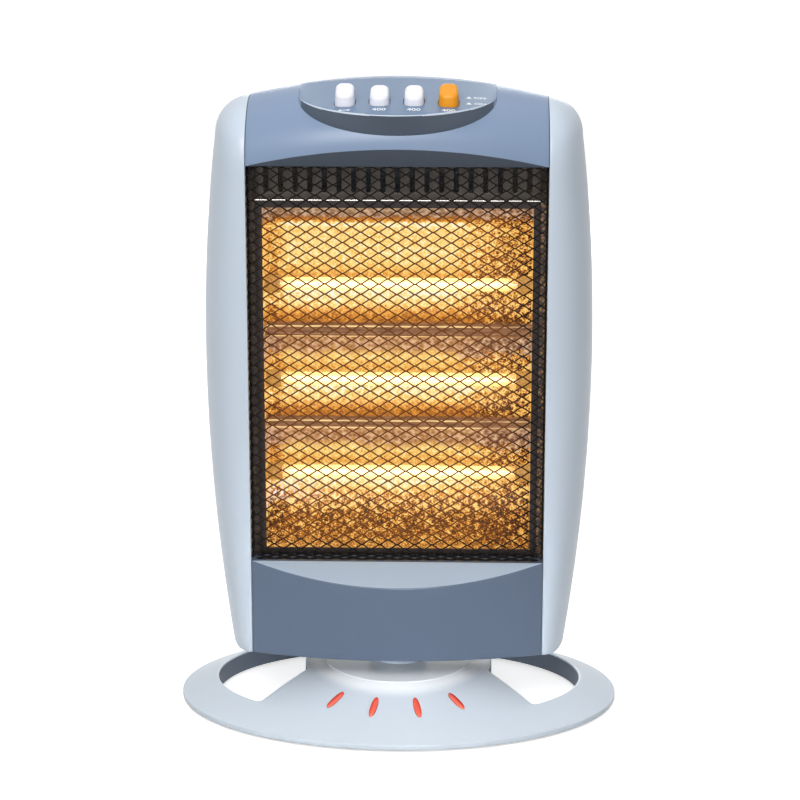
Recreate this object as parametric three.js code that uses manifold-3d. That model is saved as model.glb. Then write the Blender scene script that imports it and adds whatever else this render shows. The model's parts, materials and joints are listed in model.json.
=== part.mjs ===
// A halogen heater: three quartz lamps in an embossed reflector behind an expanded-metal grille,
// in a moulded head that swings from side to side on the neck of an oval base.
// Millimetres, +Z up, the front faces -Y, the origin is where the swing axis meets the floor.

import * as THREE from 'three';
import { mergeVertices } from 'three/addons/utils/BufferGeometryUtils.js';
import Module from 'manifold-3d';

const wasm = await Module();
wasm.setup();

// ---------------------------------------------------------------- general sizes

const clearance = 0.3; // gap between pieces that rest against each other
const wall = 2.5; // moulded plastic wall
const sheet = 1.2; // pressed sheet metal

// ---------------------------------------------------------------- base sizes

const baseHalfX = 184;
const baseHalfY = 126;
const rimBottomZ = 2; // underside of the rim above the floor
const rimTopZ = 7;
const rimChamfer = 0.8;
const ovalSides = 40; // facets round the base's ovals
const openingHalfX = baseHalfX - 31; // the ellipse that bounds both side openings
const openingHalfY = baseHalfY - 28;
const openingEdgeZ = 19.5;
const pedestalRadius = 62;
const pedestalZ = 36;
const openingInnerRadius = 79; // the pedestal's root where the openings end
const webApexX = 56.3; // the opening's straight sides meet here, on the X axis
const webFrontAngle = THREE.MathUtils.degToRad(49.7); // of the opening's front side from that axis
const webRearAngle = THREE.MathUtils.degToRad(78); // of its rear side
const bottomPlateThickness = 1.8;
const footRadius = 9;
const footX = baseHalfX - 89;
const footY = baseHalfY - 33;
const markerLength = 20;
const markerWidth = 5.4;
const markerThickness = 2.6;
const markerSink = 1.4; // how deep a marker sits in its pocket
const markerFanY = -14; // the markers point away from here, on the middle line
const innerReach = baseHalfY - 50.5; // from there to the middle of the two inner markers
const outerReach = baseHalfY - 46;
const markers = [[-38.4, outerReach], [-13.6, innerReach], [13.6, innerReach], [38.4, outerReach]];

// ---------------------------------------------------------------- neck and swing drive sizes

const neckRadius = 24;
const neckSocketRadius = 20;
const neckSocketDepth = 12;
const spigotRadius = 12;
const cableBoreRadius = 8;
const washerThickness = 2.6;
const washerRadius = 22;
const nutRadius = 17;
const nutHeight = 5.4;
const slotPlateThickness = 2;
const slotHalfWidth = 6.5; // wide, so that the crank pin keeps clear of it at every angle
const crankDistance = 22; // from the swing axis to the motor's axis
const crankThrow = 12.6;
const crankPinRadius = 2.5;
const camRadius = 17;
const camThickness = 4;
const camAboveSpigot = 0.5;
const motorRadius = 25;
const motorHeight = 22;
const motorShaftRadius = 3;
const bracketLegX = 44;
const bracketWidth = 24;
const bracketFoot = 10;

// ---------------------------------------------------------------- tip-over switch sizes

const tipSwitchY = 36;
const tipSwitchSize = new THREE.Vector3(24, 12, 14);
const plungerRadius = 4;
const plungerStemRadius = 2;
const plungerTravel = 4;

// ---------------------------------------------------------------- head outline sizes

const headBottomZ = 54;
const headTopZ = 528; // at the middle of the arched top
const cornerTopZ = headTopZ - 15; // where the arched top meets the side covers
const windowHalfX = 120; // inner edges of the side covers
const widestHalfX = windowHalfX + 39.6;
const widestZ = headBottomZ + 0.53 * (headTopZ - headBottomZ);
const lowerBowRadius = 1617;
const upperBowRadius = 1400;
const shoulderRadius = 31;
const windowBottomZ = headBottomZ + 80.5;
const windowTopZ = headTopZ - 66;
const frontY = -45; // the grille's front plane
const splitY = 18; // where the front covers meet the rear cover
const rearY = 55;
const crestY = 10; // highest line of the top, seen from the side
const rearEdgeRadius = 22;
const backFall = 1.5; // how far the top falls from its crest to the split
const rearDraft = THREE.MathUtils.degToRad(9); // of the rear cover's sides and top

// ---------------------------------------------------------------- top cover sizes

const topBulge = 15; // how far the top cover stands out at its middle
const bevelHeight = 16; // the bevel above the grille, at its middle
const ledgeHalfX = 78.5;
const ledgeReach = 51.5; // how far the ledge's front stands ahead of its tips
const ledgeTipAngle = THREE.MathUtils.degToRad(62.5);
const ledgeRootAngle = THREE.MathUtils.degToRad(14.2);
const ledgeSlope = 20 / 82; // fall of the control surface towards the front
const mountRibY = -20;
const mountRibThickness = 2.5;

// ---------------------------------------------------------------- lower panel sizes

const sillReach = 27; // the sloping sill below the grille, at its middle
const sillDrop = 12.9;
const panelFootReach = 18; // how far the panel's bottom edge stands out

// ---------------------------------------------------------------- grille, vent plate and reflector

const grilleThickness = 1;
const grilleDepth = 19.5;
const grilleBorder = 4;
const meshColumns = 7;
const meshRows = 16;
const strandWidth = 2.2;
const flangeY = -25; // front face of the reflector's flange
const flangeHalfX = windowHalfX - 6;
const flangeTopZ = windowTopZ - 31.4;
const flangeBottomZ = windowBottomZ - 12.5;
const reflectorHalfX = windowHalfX - 11;
const reflectorTopZ = flangeTopZ - 5.1;
const reflectorBottomZ = windowBottomZ + 5;
const troughY = 32;
const ridgeY = 15.5;
const ridgeHalf = 6; // half the height of the flat strip between two troughs
const ventTopZ = windowTopZ + 14;
const slotCount = 19;
const slotPitch = (2 * windowHalfX - 29.4) / (slotCount - 1);
const slotWidth = 4.3;
const slotBottomZ = windowTopZ - 25;
const slotTopZ = windowTopZ + 8;

// ---------------------------------------------------------------- lamp sizes

const lampParts = [0.76, 0.48, 0.2]; // where the lamps sit in the reflector's height
const lampZ = lampParts.map((part) => THREE.MathUtils.lerp(reflectorBottomZ, reflectorTopZ, part));
const lampY = 5;
const tubeRadius = 5.5;
const tubeWall = 1;
const tubeHalfLength = windowHalfX - 21;
const capInnerX = tubeHalfLength - 2;
const capOuterX = windowHalfX - 3;
const capRadius = 7.5;
const capHoleClearance = 1;
const filamentRadius = 2.6;
const filamentWire = 1.3;
const filamentHalfLength = tubeHalfLength - 8;
const filamentTurns = 11;
const filamentSides = 4; // facets round the wire
const filamentSteps = 6; // facets along one turn
const filamentEndX = tubeHalfLength + 6; // the wire's straight ends reach this far into the caps
const lampBracketX = reflectorHalfX + 2;
const lampBracketDepth = 40;
const lampBracketMargin = 24;

// ---------------------------------------------------------------- button and switch sizes

const buttonPitch = 27;
const buttonWidth = 16;
const buttonDepth = 19;
const buttonFrontRise = 8; // of a released button's cap above the control surface
const buttonRearRise = 12;
const buttonLatched = 3; // how far a pressed button stays down
const buttonTravel = 4;
const buttonCorner = 6;
const buttonFlange = 1.5;
const wellReach = 12; // how far a button's well is cut to both sides of the control surface
const buttonStates = [0, buttonLatched, buttonLatched, 0];
const buttonY = -43.5;
const stemWidth = 6;
const switchSize = new THREE.Vector3(20, 15, 18);
const switchFront = 4.4; // from a button's middle to its switch's front
const switchBracketDepth = 10.8; // below the control surface
const switchBracketHalfX = 55;
const switchBracketRear = 12;

// ---------------------------------------------------------------- chassis and rear cover sizes

const floorThickness = 1.5;
const earX = windowHalfX - 24;
const earWidth = 18;
const louvreWidth = 88;
const louvreHeight = 4;
const louvrePitch = 9;
const louvreGap = 12; // between the two columns
const upperLouvreZ = headTopZ - 176;
const upperLouvreRows = 6;
const lowerLouvreZ = headBottomZ + 30;
const lowerLouvreRows = 4;
const gripHalfX = 52;
const gripBottomZ = headTopZ - 82;
const gripHeight = 24;
const gripDepth = 20;
const gripLip = 6; // width of the cup's lip on the rear cover
const gripLipThickness = 1.7;
const glandX = 12 - windowHalfX;
const glandZ = headBottomZ + 34;
const glandRadius = 8;
const glandBore = 3.7;
const glandFlange = 2.5;
const terminalSize = new THREE.Vector3(42, 18, 16);
const terminalY = 24;
const terminalGap = 3; // to the motor bracket's foot
const terminalPitch = 13;
const terminalWellRadius = 3;
const terminalWellDepth = 5;

// ---------------------------------------------------------------- materials

function material(color, roughness, metalness) {
  return new THREE.MeshStandardMaterial({ color, roughness, metalness });
}

const materials = {
  shellGrey: material(0xc9d0dc, 0.45, 0),
  shellBlue: material(0x8093ac, 0.4, 0),
  meshBlack: material(0x14120f, 0.55, 0.4),
  reflector: material(0xd9cdb4, 0.2, 1),
  zinc: material(0x8f8b84, 0.45, 0.9),
  quartz: material(0xfff3d0, 0.05, 0),
  filament: material(0xffb040, 0.5, 0),
  ceramic: material(0xe8e2d4, 0.7, 0),
  buttonWhite: material(0xfafafc, 0.3, 0),
  buttonOrange: material(0xf0962a, 0.3, 0),
  markerRed: material(0xe8503c, 0.3, 0),
  rubber: material(0x1c1c1c, 0.9, 0),
  steel: material(0xa8abb0, 0.35, 1),
  blackPlastic: material(0x1b1b1d, 0.6, 0),
  acetal: material(0xeeeeea, 0.5, 0),
};

// ---------------------------------------------------------------- solids

function toSolid(geometry) {
  const bare = geometry.clone();
  for (const name of Object.keys(bare.attributes)) {
    if (name !== 'position') {
      bare.deleteAttribute(name);
    }
  }
  const merged = mergeVertices(bare, 1e-4);
  return new wasm.Manifold(
    new wasm.Mesh({
      numProp: 3,
      vertProperties: new Float32Array(merged.attributes.position.array),
      triVerts: new Uint32Array(merged.index.array),
    })
  );
}

function toMesh(name, solid, finish) {
  const cut = solid.getMesh();
  const geometry = new THREE.BufferGeometry();
  geometry.setAttribute('position', new THREE.BufferAttribute(cut.vertProperties, 3));
  geometry.setIndex(new THREE.BufferAttribute(cut.triVerts, 1));
  const mesh = new THREE.Mesh(geometry, finish);
  mesh.name = name;
  return mesh;
}

function box(x0, x1, y0, y1, z0, z1) {
  const geometry = new THREE.BoxGeometry(x1 - x0, y1 - y0, z1 - z0);
  geometry.translate((x0 + x1) / 2, (y0 + y1) / 2, (z0 + z1) / 2);
  return toSolid(geometry);
}

// A turned solid about the Z axis; the profile is [radius, z] pairs that close on themselves.
function turned(profile, segments = 32) {
  const points = profile.map(([radius, z]) => new THREE.Vector2(radius, z));
  points.push(points[0].clone());
  const geometry = new THREE.LatheGeometry(points, segments);
  geometry.rotateX(Math.PI / 2);
  return toSolid(geometry);
}

function disc(radius, z0, z1, segments = 32) {
  const geometry = new THREE.CylinderGeometry(radius, radius, z1 - z0, segments);
  geometry.rotateX(Math.PI / 2);
  geometry.translate(0, 0, (z0 + z1) / 2);
  return toSolid(geometry);
}

function ring(inner, outer, z0, z1, segments = 32) {
  return turned([[inner, z0], [outer, z0], [outer, z1], [inner, z1]], segments);
}

function extruded(shape, depth) {
  return new THREE.ExtrudeGeometry(shape, { depth, bevelEnabled: false, curveSegments: 6 });
}

// An outline in the YZ plane, extruded along X between two places.
function alongX(shape, x0, x1) {
  const geometry = extruded(shape, x1 - x0);
  geometry.applyMatrix4(
    new THREE.Matrix4().makeBasis(
      new THREE.Vector3(0, 1, 0),
      new THREE.Vector3(0, 0, 1),
      new THREE.Vector3(1, 0, 0)
    )
  );
  geometry.translate(x0, 0, 0);
  return toSolid(geometry);
}

// An outline in the XZ plane, extruded along +Y between two places.
function alongY(shape, y0, y1) {
  const geometry = extruded(shape, y1 - y0);
  geometry.rotateX(Math.PI / 2);
  geometry.translate(0, y1, 0);
  return toSolid(geometry);
}

function alongZ(shape, z0, z1) {
  const geometry = extruded(shape, z1 - z0);
  geometry.translate(0, 0, z0);
  return toSolid(geometry);
}

// A closed skin through sections with equal numbers of points, with flat caps at both ends.
function loft(sections, place) {
  const count = sections[0].points.length;
  const positions = [];
  for (const section of sections) {
    for (const point of section.points) {
      positions.push(...place(point, section.at));
    }
  }
  const index = [];
  for (let row = 0; row < sections.length - 1; row++) {
    for (let i = 0; i < count; i++) {
      const a = row * count + i;
      const b = row * count + ((i + 1) % count);
      index.push(a, b, b + count);
      index.push(a, b + count, a + count);
    }
  }
  const last = (sections.length - 1) * count;
  for (const [a, b, c] of THREE.ShapeUtils.triangulateShape(sections[0].points, [])) {
    index.push(a, c, b);
  }
  for (const [a, b, c] of THREE.ShapeUtils.triangulateShape(sections.at(-1).points, [])) {
    index.push(last + a, last + b, last + c);
  }
  const geometry = new THREE.BufferGeometry();
  geometry.setAttribute('position', new THREE.Float32BufferAttribute(positions, 3));
  geometry.setIndex(index);
  return toSolid(geometry);
}

// Counter-clockwise sections: (x, y) stacked along Z, (y, z) along X, (z, x) along Y.
const stackZ = (point, at) => [point.x, point.y, at];
const stackX = (point, at) => [at, point.x, point.y];
const stackY = (point, at) => [point.y, at, point.x];

// Moves every side of a counter-clockwise outline inwards by the same distance.
function inset(points, distance) {
  return points.map((point, i) => {
    const before = points[(i + points.length - 1) % points.length];
    const after = points[(i + 1) % points.length];
    const in1 = point.clone().sub(before).normalize();
    const in2 = after.clone().sub(point).normalize();
    const normal = new THREE.Vector2(-in1.y - in2.y, in1.x + in2.x).normalize();
    const half = Math.max(0.3, -in1.y * normal.x + in1.x * normal.y);
    return point.clone().addScaledVector(normal, distance / half);
  });
}

function steps(from, to, count) {
  return Array.from({ length: count + 1 }, (_, i) => from + ((to - from) * i) / count);
}

function ellipsePoints(halfX, halfY, count) {
  return steps(0, 2 * Math.PI, count)
    .slice(0, count)
    .map((angle) => new THREE.Vector2(halfX * Math.cos(angle), halfY * Math.sin(angle)));
}

function roundedRectangle(width, height, radius) {
  const shape = new THREE.Shape();
  const x = width / 2;
  const y = height / 2;
  shape.moveTo(-x + radius, -y);
  shape.lineTo(x - radius, -y);
  shape.absarc(x - radius, -y + radius, radius, -Math.PI / 2, 0, false);
  shape.lineTo(x, y - radius);
  shape.absarc(x - radius, y - radius, radius, 0, Math.PI / 2, false);
  shape.lineTo(-x + radius, y);
  shape.absarc(-x + radius, y - radius, radius, Math.PI / 2, Math.PI, false);
  shape.lineTo(-x, -y + radius);
  shape.absarc(-x + radius, -y + radius, radius, Math.PI, 1.5 * Math.PI, false);
  return shape;
}

function circlePath(x, y, radius) {
  const path = new THREE.Path();
  path.absarc(x, y, radius, 0, 2 * Math.PI, true);
  return path;
}

function outline(points) {
  return new THREE.Shape(points.map(([x, y]) => new THREE.Vector2(x, y)));
}

// ---------------------------------------------------------------- head outline

// Half the head's width at a height, without its shoulders.
function bow(z) {
  const rise = z - widestZ;
  const radius = rise < 0 ? lowerBowRadius : upperBowRadius;
  return widestHalfX - radius + Math.sqrt(radius * radius - rise * rise);
}

const shoulderZ = cornerTopZ - shoulderRadius;
const shoulderX = bow(shoulderZ) - shoulderRadius;
const archRise = headTopZ - cornerTopZ;
const archRadius = (windowHalfX ** 2 + archRise ** 2) / (2 * archRise);

function archZ(x) {
  return headTopZ - archRadius + Math.sqrt(archRadius * archRadius - x * x);
}

// How far the head's outline sinks at a height, between the crest and the split.
function backDrop(y, z) {
  const back = THREE.MathUtils.clamp((y - crestY) / (splitY - crestY), 0, 1);
  const up = THREE.MathUtils.clamp((z - shoulderZ) / shoulderRadius, 0, 1);
  return backFall * back * up;
}

// 1 at the head's middle and 0 at the window's edges.
function crown(x) {
  return Math.max(0, 1 - (x / windowHalfX) ** 2);
}

// ---------------------------------------------------------------- base

function baseLoft(shrink) {
  const rings = [
    [baseHalfX - 0.8, baseHalfY - 0.8, rimBottomZ],
    [baseHalfX, baseHalfY, rimBottomZ + 1],
    [baseHalfX, baseHalfY, rimTopZ - rimChamfer],
    [baseHalfX - rimChamfer, baseHalfY - rimChamfer, rimTopZ],
    [openingHalfX, openingHalfY, openingEdgeZ],
    [pedestalRadius + 1, pedestalRadius + 1, pedestalZ - 0.8],
    [pedestalRadius, pedestalRadius, pedestalZ],
  ];
  const sections = rings.map(([halfX, halfY, z], row) => ({
    at: shrink > 0 && row < 2 ? rimBottomZ - 2 + row : z - shrink,
    points: ellipsePoints(halfX - shrink, halfY - shrink, ovalSides),
  }));
  return loft(sections, stackZ);
}

// One side opening as a column, grown outwards by a margin.
function openingColumn(side, margin) {
  const z0 = -10;
  const z1 = pedestalZ + 20;
  const ellipse = new THREE.Shape(ellipsePoints(openingHalfX + margin, openingHalfY + margin, ovalSides));
  const shift = margin / (1 - Math.cos(webFrontAngle + webRearAngle));
  const apexX = webApexX - shift * (Math.sin(webFrontAngle) + Math.sin(webRearAngle));
  const apexY = shift * (Math.cos(webRearAngle) - Math.cos(webFrontAngle));
  const reach = baseHalfX;
  const wedge = outline([
    [apexX, apexY],
    [reach, apexY - (reach - apexX) * Math.tan(webFrontAngle)],
    [reach, apexY + (reach - apexX) * Math.tan(webRearAngle)],
  ]);
  const column = alongZ(ellipse, z0, z1)
    .intersect(alongZ(wedge, z0, z1))
    .subtract(disc(openingInnerRadius - margin, z0, z1, 36));
  return side > 0 ? column : column.mirror([1, 0, 0]);
}

// Height of the base's upper face, between the pedestal and the openings' ellipse.
function baseHeight(x, y) {
  let low = 0;
  let high = 1.2;
  for (let i = 0; i < 30; i++) {
    const middle = (low + high) / 2;
    const halfX = pedestalRadius + (openingHalfX - pedestalRadius) * middle;
    const halfY = pedestalRadius + (openingHalfY - pedestalRadius) * middle;
    if ((x / halfX) ** 2 + (y / halfY) ** 2 > 1) {
      low = middle;
    } else {
      high = middle;
    }
  }
  return pedestalZ + (openingEdgeZ - pedestalZ) * low;
}

// A lens-shaped marker, grown by a margin, lying in the base's upper face. It points away from
// the fan's middle at an angle from straight ahead, in degrees.
function markerSolid([angle, reach], margin) {
  const length = markerLength / 2 + margin;
  const halfWidth = markerWidth / 2 + margin;
  const lens = new THREE.Shape();
  lens.moveTo(0, -length);
  const bulge = (4 / 3) * halfWidth;
  lens.bezierCurveTo(bulge, -0.8 * length, bulge, 0.8 * length, 0, length);
  lens.bezierCurveTo(-bulge, 0.8 * length, -bulge, -0.8 * length, 0, -length);
  const geometry = new THREE.ExtrudeGeometry(lens, {
    depth: markerThickness + margin,
    bevelEnabled: false,
    curveSegments: 5,
  });
  geometry.translate(0, 0, -markerSink - margin);
  const turn = THREE.MathUtils.degToRad(angle);
  const at = (distance) => new THREE.Vector2(
    distance * Math.sin(turn),
    markerFanY - distance * Math.cos(turn)
  );
  const { x, y } = at(reach);
  const inner = baseHeight(...at(reach - markerLength / 2).toArray());
  const outer = baseHeight(...at(reach + markerLength / 2).toArray());
  const holder = new THREE.Object3D();
  holder.position.set(x, y, (inner + outer) / 2);
  holder.rotation.set(Math.atan2(inner - outer, markerLength), 0, turn, 'ZYX');
  holder.updateMatrix();
  geometry.applyMatrix4(holder.matrix);
  return toSolid(geometry);
}

const floorZ = pedestalZ + clearance; // the neck's shoulder rests on the pedestal
const neckTopZ = headBottomZ - clearance;
const washerZ = neckTopZ + clearance;
const chassisZ = washerZ + washerThickness + clearance;
const nutZ = chassisZ + floorThickness + clearance;
const slotPlateZ = nutZ + nutHeight + clearance;
const spigotTopZ = slotPlateZ + slotPlateThickness + 3.5;
const camZ = spigotTopZ + camAboveSpigot;
const motorBracketZ = camZ + camThickness + clearance;
const motorZ = motorBracketZ + sheet + clearance;
const plateZ = rimBottomZ + clearance;

function makeBaseShell() {
  let cavity = baseLoft(wall);
  let shell = baseLoft(0);
  for (const side of [-1, 1]) {
    cavity = cavity.subtract(openingColumn(side, wall));
    shell = shell.subtract(openingColumn(side, 0));
  }
  shell = shell.subtract(cavity);
  shell = shell.subtract(disc(neckSocketRadius + clearance, 0, pedestalZ + 5));
  for (const marker of markers) {
    shell = shell.subtract(markerSolid(marker, clearance));
  }
  return shell;
}

function makeBottomPlate() {
  const gap = wall + clearance;
  const rim = new THREE.Shape(ellipsePoints(
    baseHalfX - gap - rimChamfer,
    baseHalfY - gap - rimChamfer,
    ovalSides
  ));
  let plate = alongZ(rim, plateZ, plateZ + bottomPlateThickness);
  for (const side of [-1, 1]) {
    plate = plate.subtract(openingColumn(side, gap));
  }
  const hole = disc(plungerRadius + clearance, 0, pedestalZ, 16);
  return plate.subtract(hole.translate([0, tipSwitchY, 0]));
}

function makeFoot() {
  return turned([
    [0, 0],
    [footRadius - 1, 0],
    [footRadius, 1],
    [footRadius, rimBottomZ],
    [0, rimBottomZ],
  ], 12);
}

function makeNeck() {
  const socketZ = pedestalZ - neckSocketDepth;
  return turned([
    [cableBoreRadius, socketZ],
    [neckSocketRadius, socketZ],
    [neckSocketRadius, floorZ],
    [neckRadius, floorZ],
    [neckRadius, neckTopZ],
    [spigotRadius, neckTopZ],
    [spigotRadius, spigotTopZ],
    [cableBoreRadius, spigotTopZ],
  ], 20);
}

// A ring that fits round the spigot.
function onSpigot(radius, z, height) {
  return ring(spigotRadius + clearance, radius, z, z + height, 20);
}

// The anchor plate on the spigot: the crank pin runs in its slot and pushes the head round.
function makeSlotPlate() {
  const slotStart = crankDistance - crankThrow - crankPinRadius + 4;
  const slotEnd = crankDistance + crankThrow + crankPinRadius + 2;
  const plateHalf = slotHalfWidth + 4;
  const plate = new THREE.Shape();
  plate.absarc(0, 0, spigotRadius + 6, Math.PI - 0.6, 2 * Math.PI + 0.6, false);
  plate.lineTo(plateHalf, slotEnd + 4);
  plate.lineTo(-plateHalf, slotEnd + 4);
  const slot = box(-slotHalfWidth, slotHalfWidth, slotStart + 1, slotEnd, 0, slotPlateZ + 9);
  return alongZ(plate, slotPlateZ, slotPlateZ + slotPlateThickness)
    .subtract(disc(spigotRadius + clearance, 0, slotPlateZ + 9, 20))
    .subtract(slot);
}

function makeTipSwitch() {
  const size = tipSwitchSize;
  const z0 = plateZ + bottomPlateThickness + clearance;
  const body = box(
    -size.x / 2, size.x / 2,
    tipSwitchY - size.y / 2, tipSwitchY + size.y / 2,
    z0, z0 + size.z
  );
  const well = disc(plungerRadius + clearance, 0, z0 + 5.5, 16)
    .add(disc(plungerStemRadius + clearance, 0, z0 + 11, 12));
  return body.subtract(well.translate([0, tipSwitchY, 0]));
}

function makeTipPlunger() {
  const z0 = plateZ + bottomPlateThickness + clearance;
  return disc(plungerRadius, 0.2, z0 + 5.2, 16)
    .add(disc(plungerStemRadius, z0 + 4, z0 + 10.5, 12))
    .translate([0, tipSwitchY, 0]);
}

// ---------------------------------------------------------------- side covers

// Where the head's front face lies at a height, beside the window.
function sideFrontY(z) {
  const rise = Math.max(0, z - windowTopZ) / (cornerTopZ - windowTopZ);
  return crestY - (crestY - frontY) * Math.sqrt(Math.max(0, 1 - rise * rise));
}

function sideStations() {
  const lower = steps(headBottomZ, shoulderZ, 9);
  const endAngle = Math.acos((windowHalfX + 1 - shoulderX) / shoulderRadius);
  const upper = steps(0, endAngle, 6).slice(1);
  return [
    ...lower.map((z) => ({ z, halfX: bow(z) })),
    ...upper.map((angle) => ({
      z: shoulderZ + shoulderRadius * Math.sin(angle),
      halfX: shoulderX + shoulderRadius * Math.cos(angle),
    })),
  ];
}

function sideLoft(shrink) {
  const sections = sideStations().map(({ z, halfX }) => {
    const reachX = Math.max(0.4, halfX - windowHalfX - shrink);
    const reachY = Math.max(0.4, splitY - sideFrontY(z) - shrink);
    const curve = steps(0, Math.PI / 2, 6).map(
      (angle) => new THREE.Vector2(
        windowHalfX + reachX * Math.sin(angle) ** 0.9,
        splitY - reachY * Math.cos(angle) ** 0.9
      )
    );
    const points = [...curve, new THREE.Vector2(windowHalfX, splitY)];
    return { at: z, points };
  });
  return loft(sections, (point, at) => [point.x, point.y, at - backDrop(point.y, at)]);
}

function makeSideCover(side) {
  let cavity = sideLoft(wall);
  const room = box(
    windowHalfX + wall, widestHalfX,
    frontY, splitY + wall,
    headBottomZ + wall, cornerTopZ - 5 * wall
  );
  cavity = cavity.intersect(room);
  cavity = cavity.add(cavity.translate([0, wall, 0]));
  const cover = sideLoft(0).subtract(cavity);
  return side > 0 ? cover : cover.mirror([1, 0, 0]);
}

// ---------------------------------------------------------------- top cover

const panelHalfX = windowHalfX - clearance;

function panelStations() {
  const middle = steps(-ledgeHalfX, ledgeHalfX, 10).map(
    (x) => ledgeHalfX * Math.sin((x / ledgeHalfX) * (Math.PI / 2))
  );
  const outside = steps(ledgeHalfX, panelHalfX, 3).slice(1);
  return [...outside.map((x) => -x).reverse(), ...middle, ...outside];
}

// The cover's side view at one place across the heater: arched top, ledge, face and bevel.
// With a margin it is the hollow inside, which runs out through the cover's back and underside.
function topSection(x, margin) {
  const outside = margin > 0 ? 1 : 0;
  const top = archZ(x) - margin;
  const faceZ = windowTopZ + bevelHeight * crown(x);
  const faceY = frontY - topBulge * crown(x) + margin;
  const onFace = (angle) => new THREE.Vector2(
    crestY - (crestY - faceY) * Math.cos(angle),
    faceZ + (top - faceZ) * Math.sin(angle)
  );
  const spread = Math.sqrt(Math.max(0, 1 - (x / ledgeHalfX) ** 2));
  const inLedge = Math.abs(x) <= ledgeHalfX;
  const seam = 0.02;
  const underWall = (0.9 * margin) / (top - faceZ);
  const rootAngle = Math.min(
    ledgeTipAngle - seam,
    ledgeTipAngle - seam - (ledgeTipAngle - ledgeRootAngle) * spread + underWall
  );
  const tip = onFace(ledgeTipAngle + seam);
  const lip = tip.clone();
  if (inLedge) {
    lip.x = Math.min(tip.x, tip.x - ledgeReach * spread + 2 * margin);
    const onSlope = top - (crestY - lip.x) * ledgeSlope;
    lip.y = THREE.MathUtils.lerp(tip.y, onSlope, Math.sqrt(spread));
  }
  const control = [1 / 3, 2 / 3].map((part) => {
    const flat = new THREE.Vector2(crestY, top).lerp(lip, part);
    const round = onFace(Math.PI / 2 + (ledgeTipAngle + seam - Math.PI / 2) * part);
    return inLedge ? flat : round;
  });
  const face = steps(rootAngle, 0, 6).map(onFace);
  const underZ = windowTopZ - outside;
  return [
    new THREE.Vector2(splitY + outside, underZ),
    new THREE.Vector2(splitY + outside, top - backFall),
    new THREE.Vector2(crestY, top),
    ...control,
    lip,
    ...face,
    new THREE.Vector2(frontY - 0.02 + 1.2 * margin, underZ),
  ];
}

function controlGroup() {
  const group = new THREE.Object3D();
  group.position.set(0, crestY, headTopZ);
  group.rotation.x = Math.atan(ledgeSlope);
  group.updateMatrix();
  return group.matrix;
}

// Places a solid, made with its top in the plane z = 0, under the sloping control surface.
function onControl(solid, x, y) {
  const fall = headTopZ - archZ(x);
  const moved = solid.translate([x, (y - crestY) / Math.cos(Math.atan(ledgeSlope)), 0]);
  return moved.transform(controlGroup().elements).translate([0, 0, -fall]);
}

const buttonX = buttonStates.map((_, i) => (i - (buttonStates.length - 1) / 2) * buttonPitch);

function makeTopCover() {
  const outer = panelStations().map((x) => ({ at: x, points: topSection(x, 0) }));
  const hollowHalfX = panelHalfX - wall;
  const inner = panelStations().map((x) => {
    const at = THREE.MathUtils.clamp(x, -hollowHalfX, hollowHalfX);
    return { at, points: topSection(at, wall) };
  });
  let cover = loft(outer, stackX).subtract(loft(inner, stackX));
  const ribBox = box(
    -panelHalfX + 1, panelHalfX - 1,
    mountRibY, mountRibY + mountRibThickness,
    windowTopZ + 3, headTopZ
  );
  cover = cover.add(ribBox.intersect(loft(outer, stackX)));
  for (const x of buttonX) {
    const shape = roundedRectangle(
      buttonWidth + 2 * clearance + 0.2,
      buttonDepth + 2 * clearance + 0.2,
      buttonCorner
    );
    const hole = new THREE.Shape(shape.getPoints(2));
    const well = alongZ(hole, -wellReach, wellReach);
    cover = cover.subtract(onControl(well, x, buttonY));
  }
  return cover;
}

// ---------------------------------------------------------------- lower front panel

function lowerSection(x, margin) {
  const bulge = Math.max(0.02, crown(x));
  const outside = margin > 0 ? 1 : 0;
  const sillZ = windowBottomZ - sillDrop * bulge;
  const bottomY = frontY - panelFootReach * bulge + margin;
  return [
    new THREE.Vector2(splitY + outside, headBottomZ + margin),
    new THREE.Vector2(splitY + outside, windowBottomZ - margin),
    new THREE.Vector2(frontY + margin, windowBottomZ - margin),
    new THREE.Vector2(frontY - sillReach * bulge + margin, sillZ - margin),
    new THREE.Vector2(frontY - (sillReach + 0.6) * bulge + margin, sillZ - 2.5 * bulge - margin),
    new THREE.Vector2(
      frontY - ((sillReach + panelFootReach) / 2 + 1) * bulge + margin,
      (sillZ + headBottomZ) / 2
    ),
    new THREE.Vector2(bottomY, headBottomZ + 1.5 + margin),
    new THREE.Vector2(bottomY + 1.5, headBottomZ + margin),
  ];
}

function makeLowerPanel() {
  const hollowHalfX = panelHalfX - wall;
  const outer = steps(-panelHalfX, panelHalfX, 16)
    .map((x) => ({ at: x, points: lowerSection(x, 0) }));
  const inner = steps(-hollowHalfX, hollowHalfX, 16)
    .map((x) => ({ at: x, points: lowerSection(x, wall) }));
  const rearMouth = box(
    -hollowHalfX, hollowHalfX,
    flangeY - clearance, splitY + 1,
    chassisZ - clearance, windowBottomZ + 1
  );
  const bottomMouth = box(
    -hollowHalfX + 6, hollowHalfX - 6,
    frontY + 8, splitY + 1,
    headBottomZ - 1, chassisZ
  );
  return loft(outer, stackX)
    .subtract(loft(inner, stackX))
    .subtract(rearMouth)
    .subtract(bottomMouth);
}

// ---------------------------------------------------------------- rear cover

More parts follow.
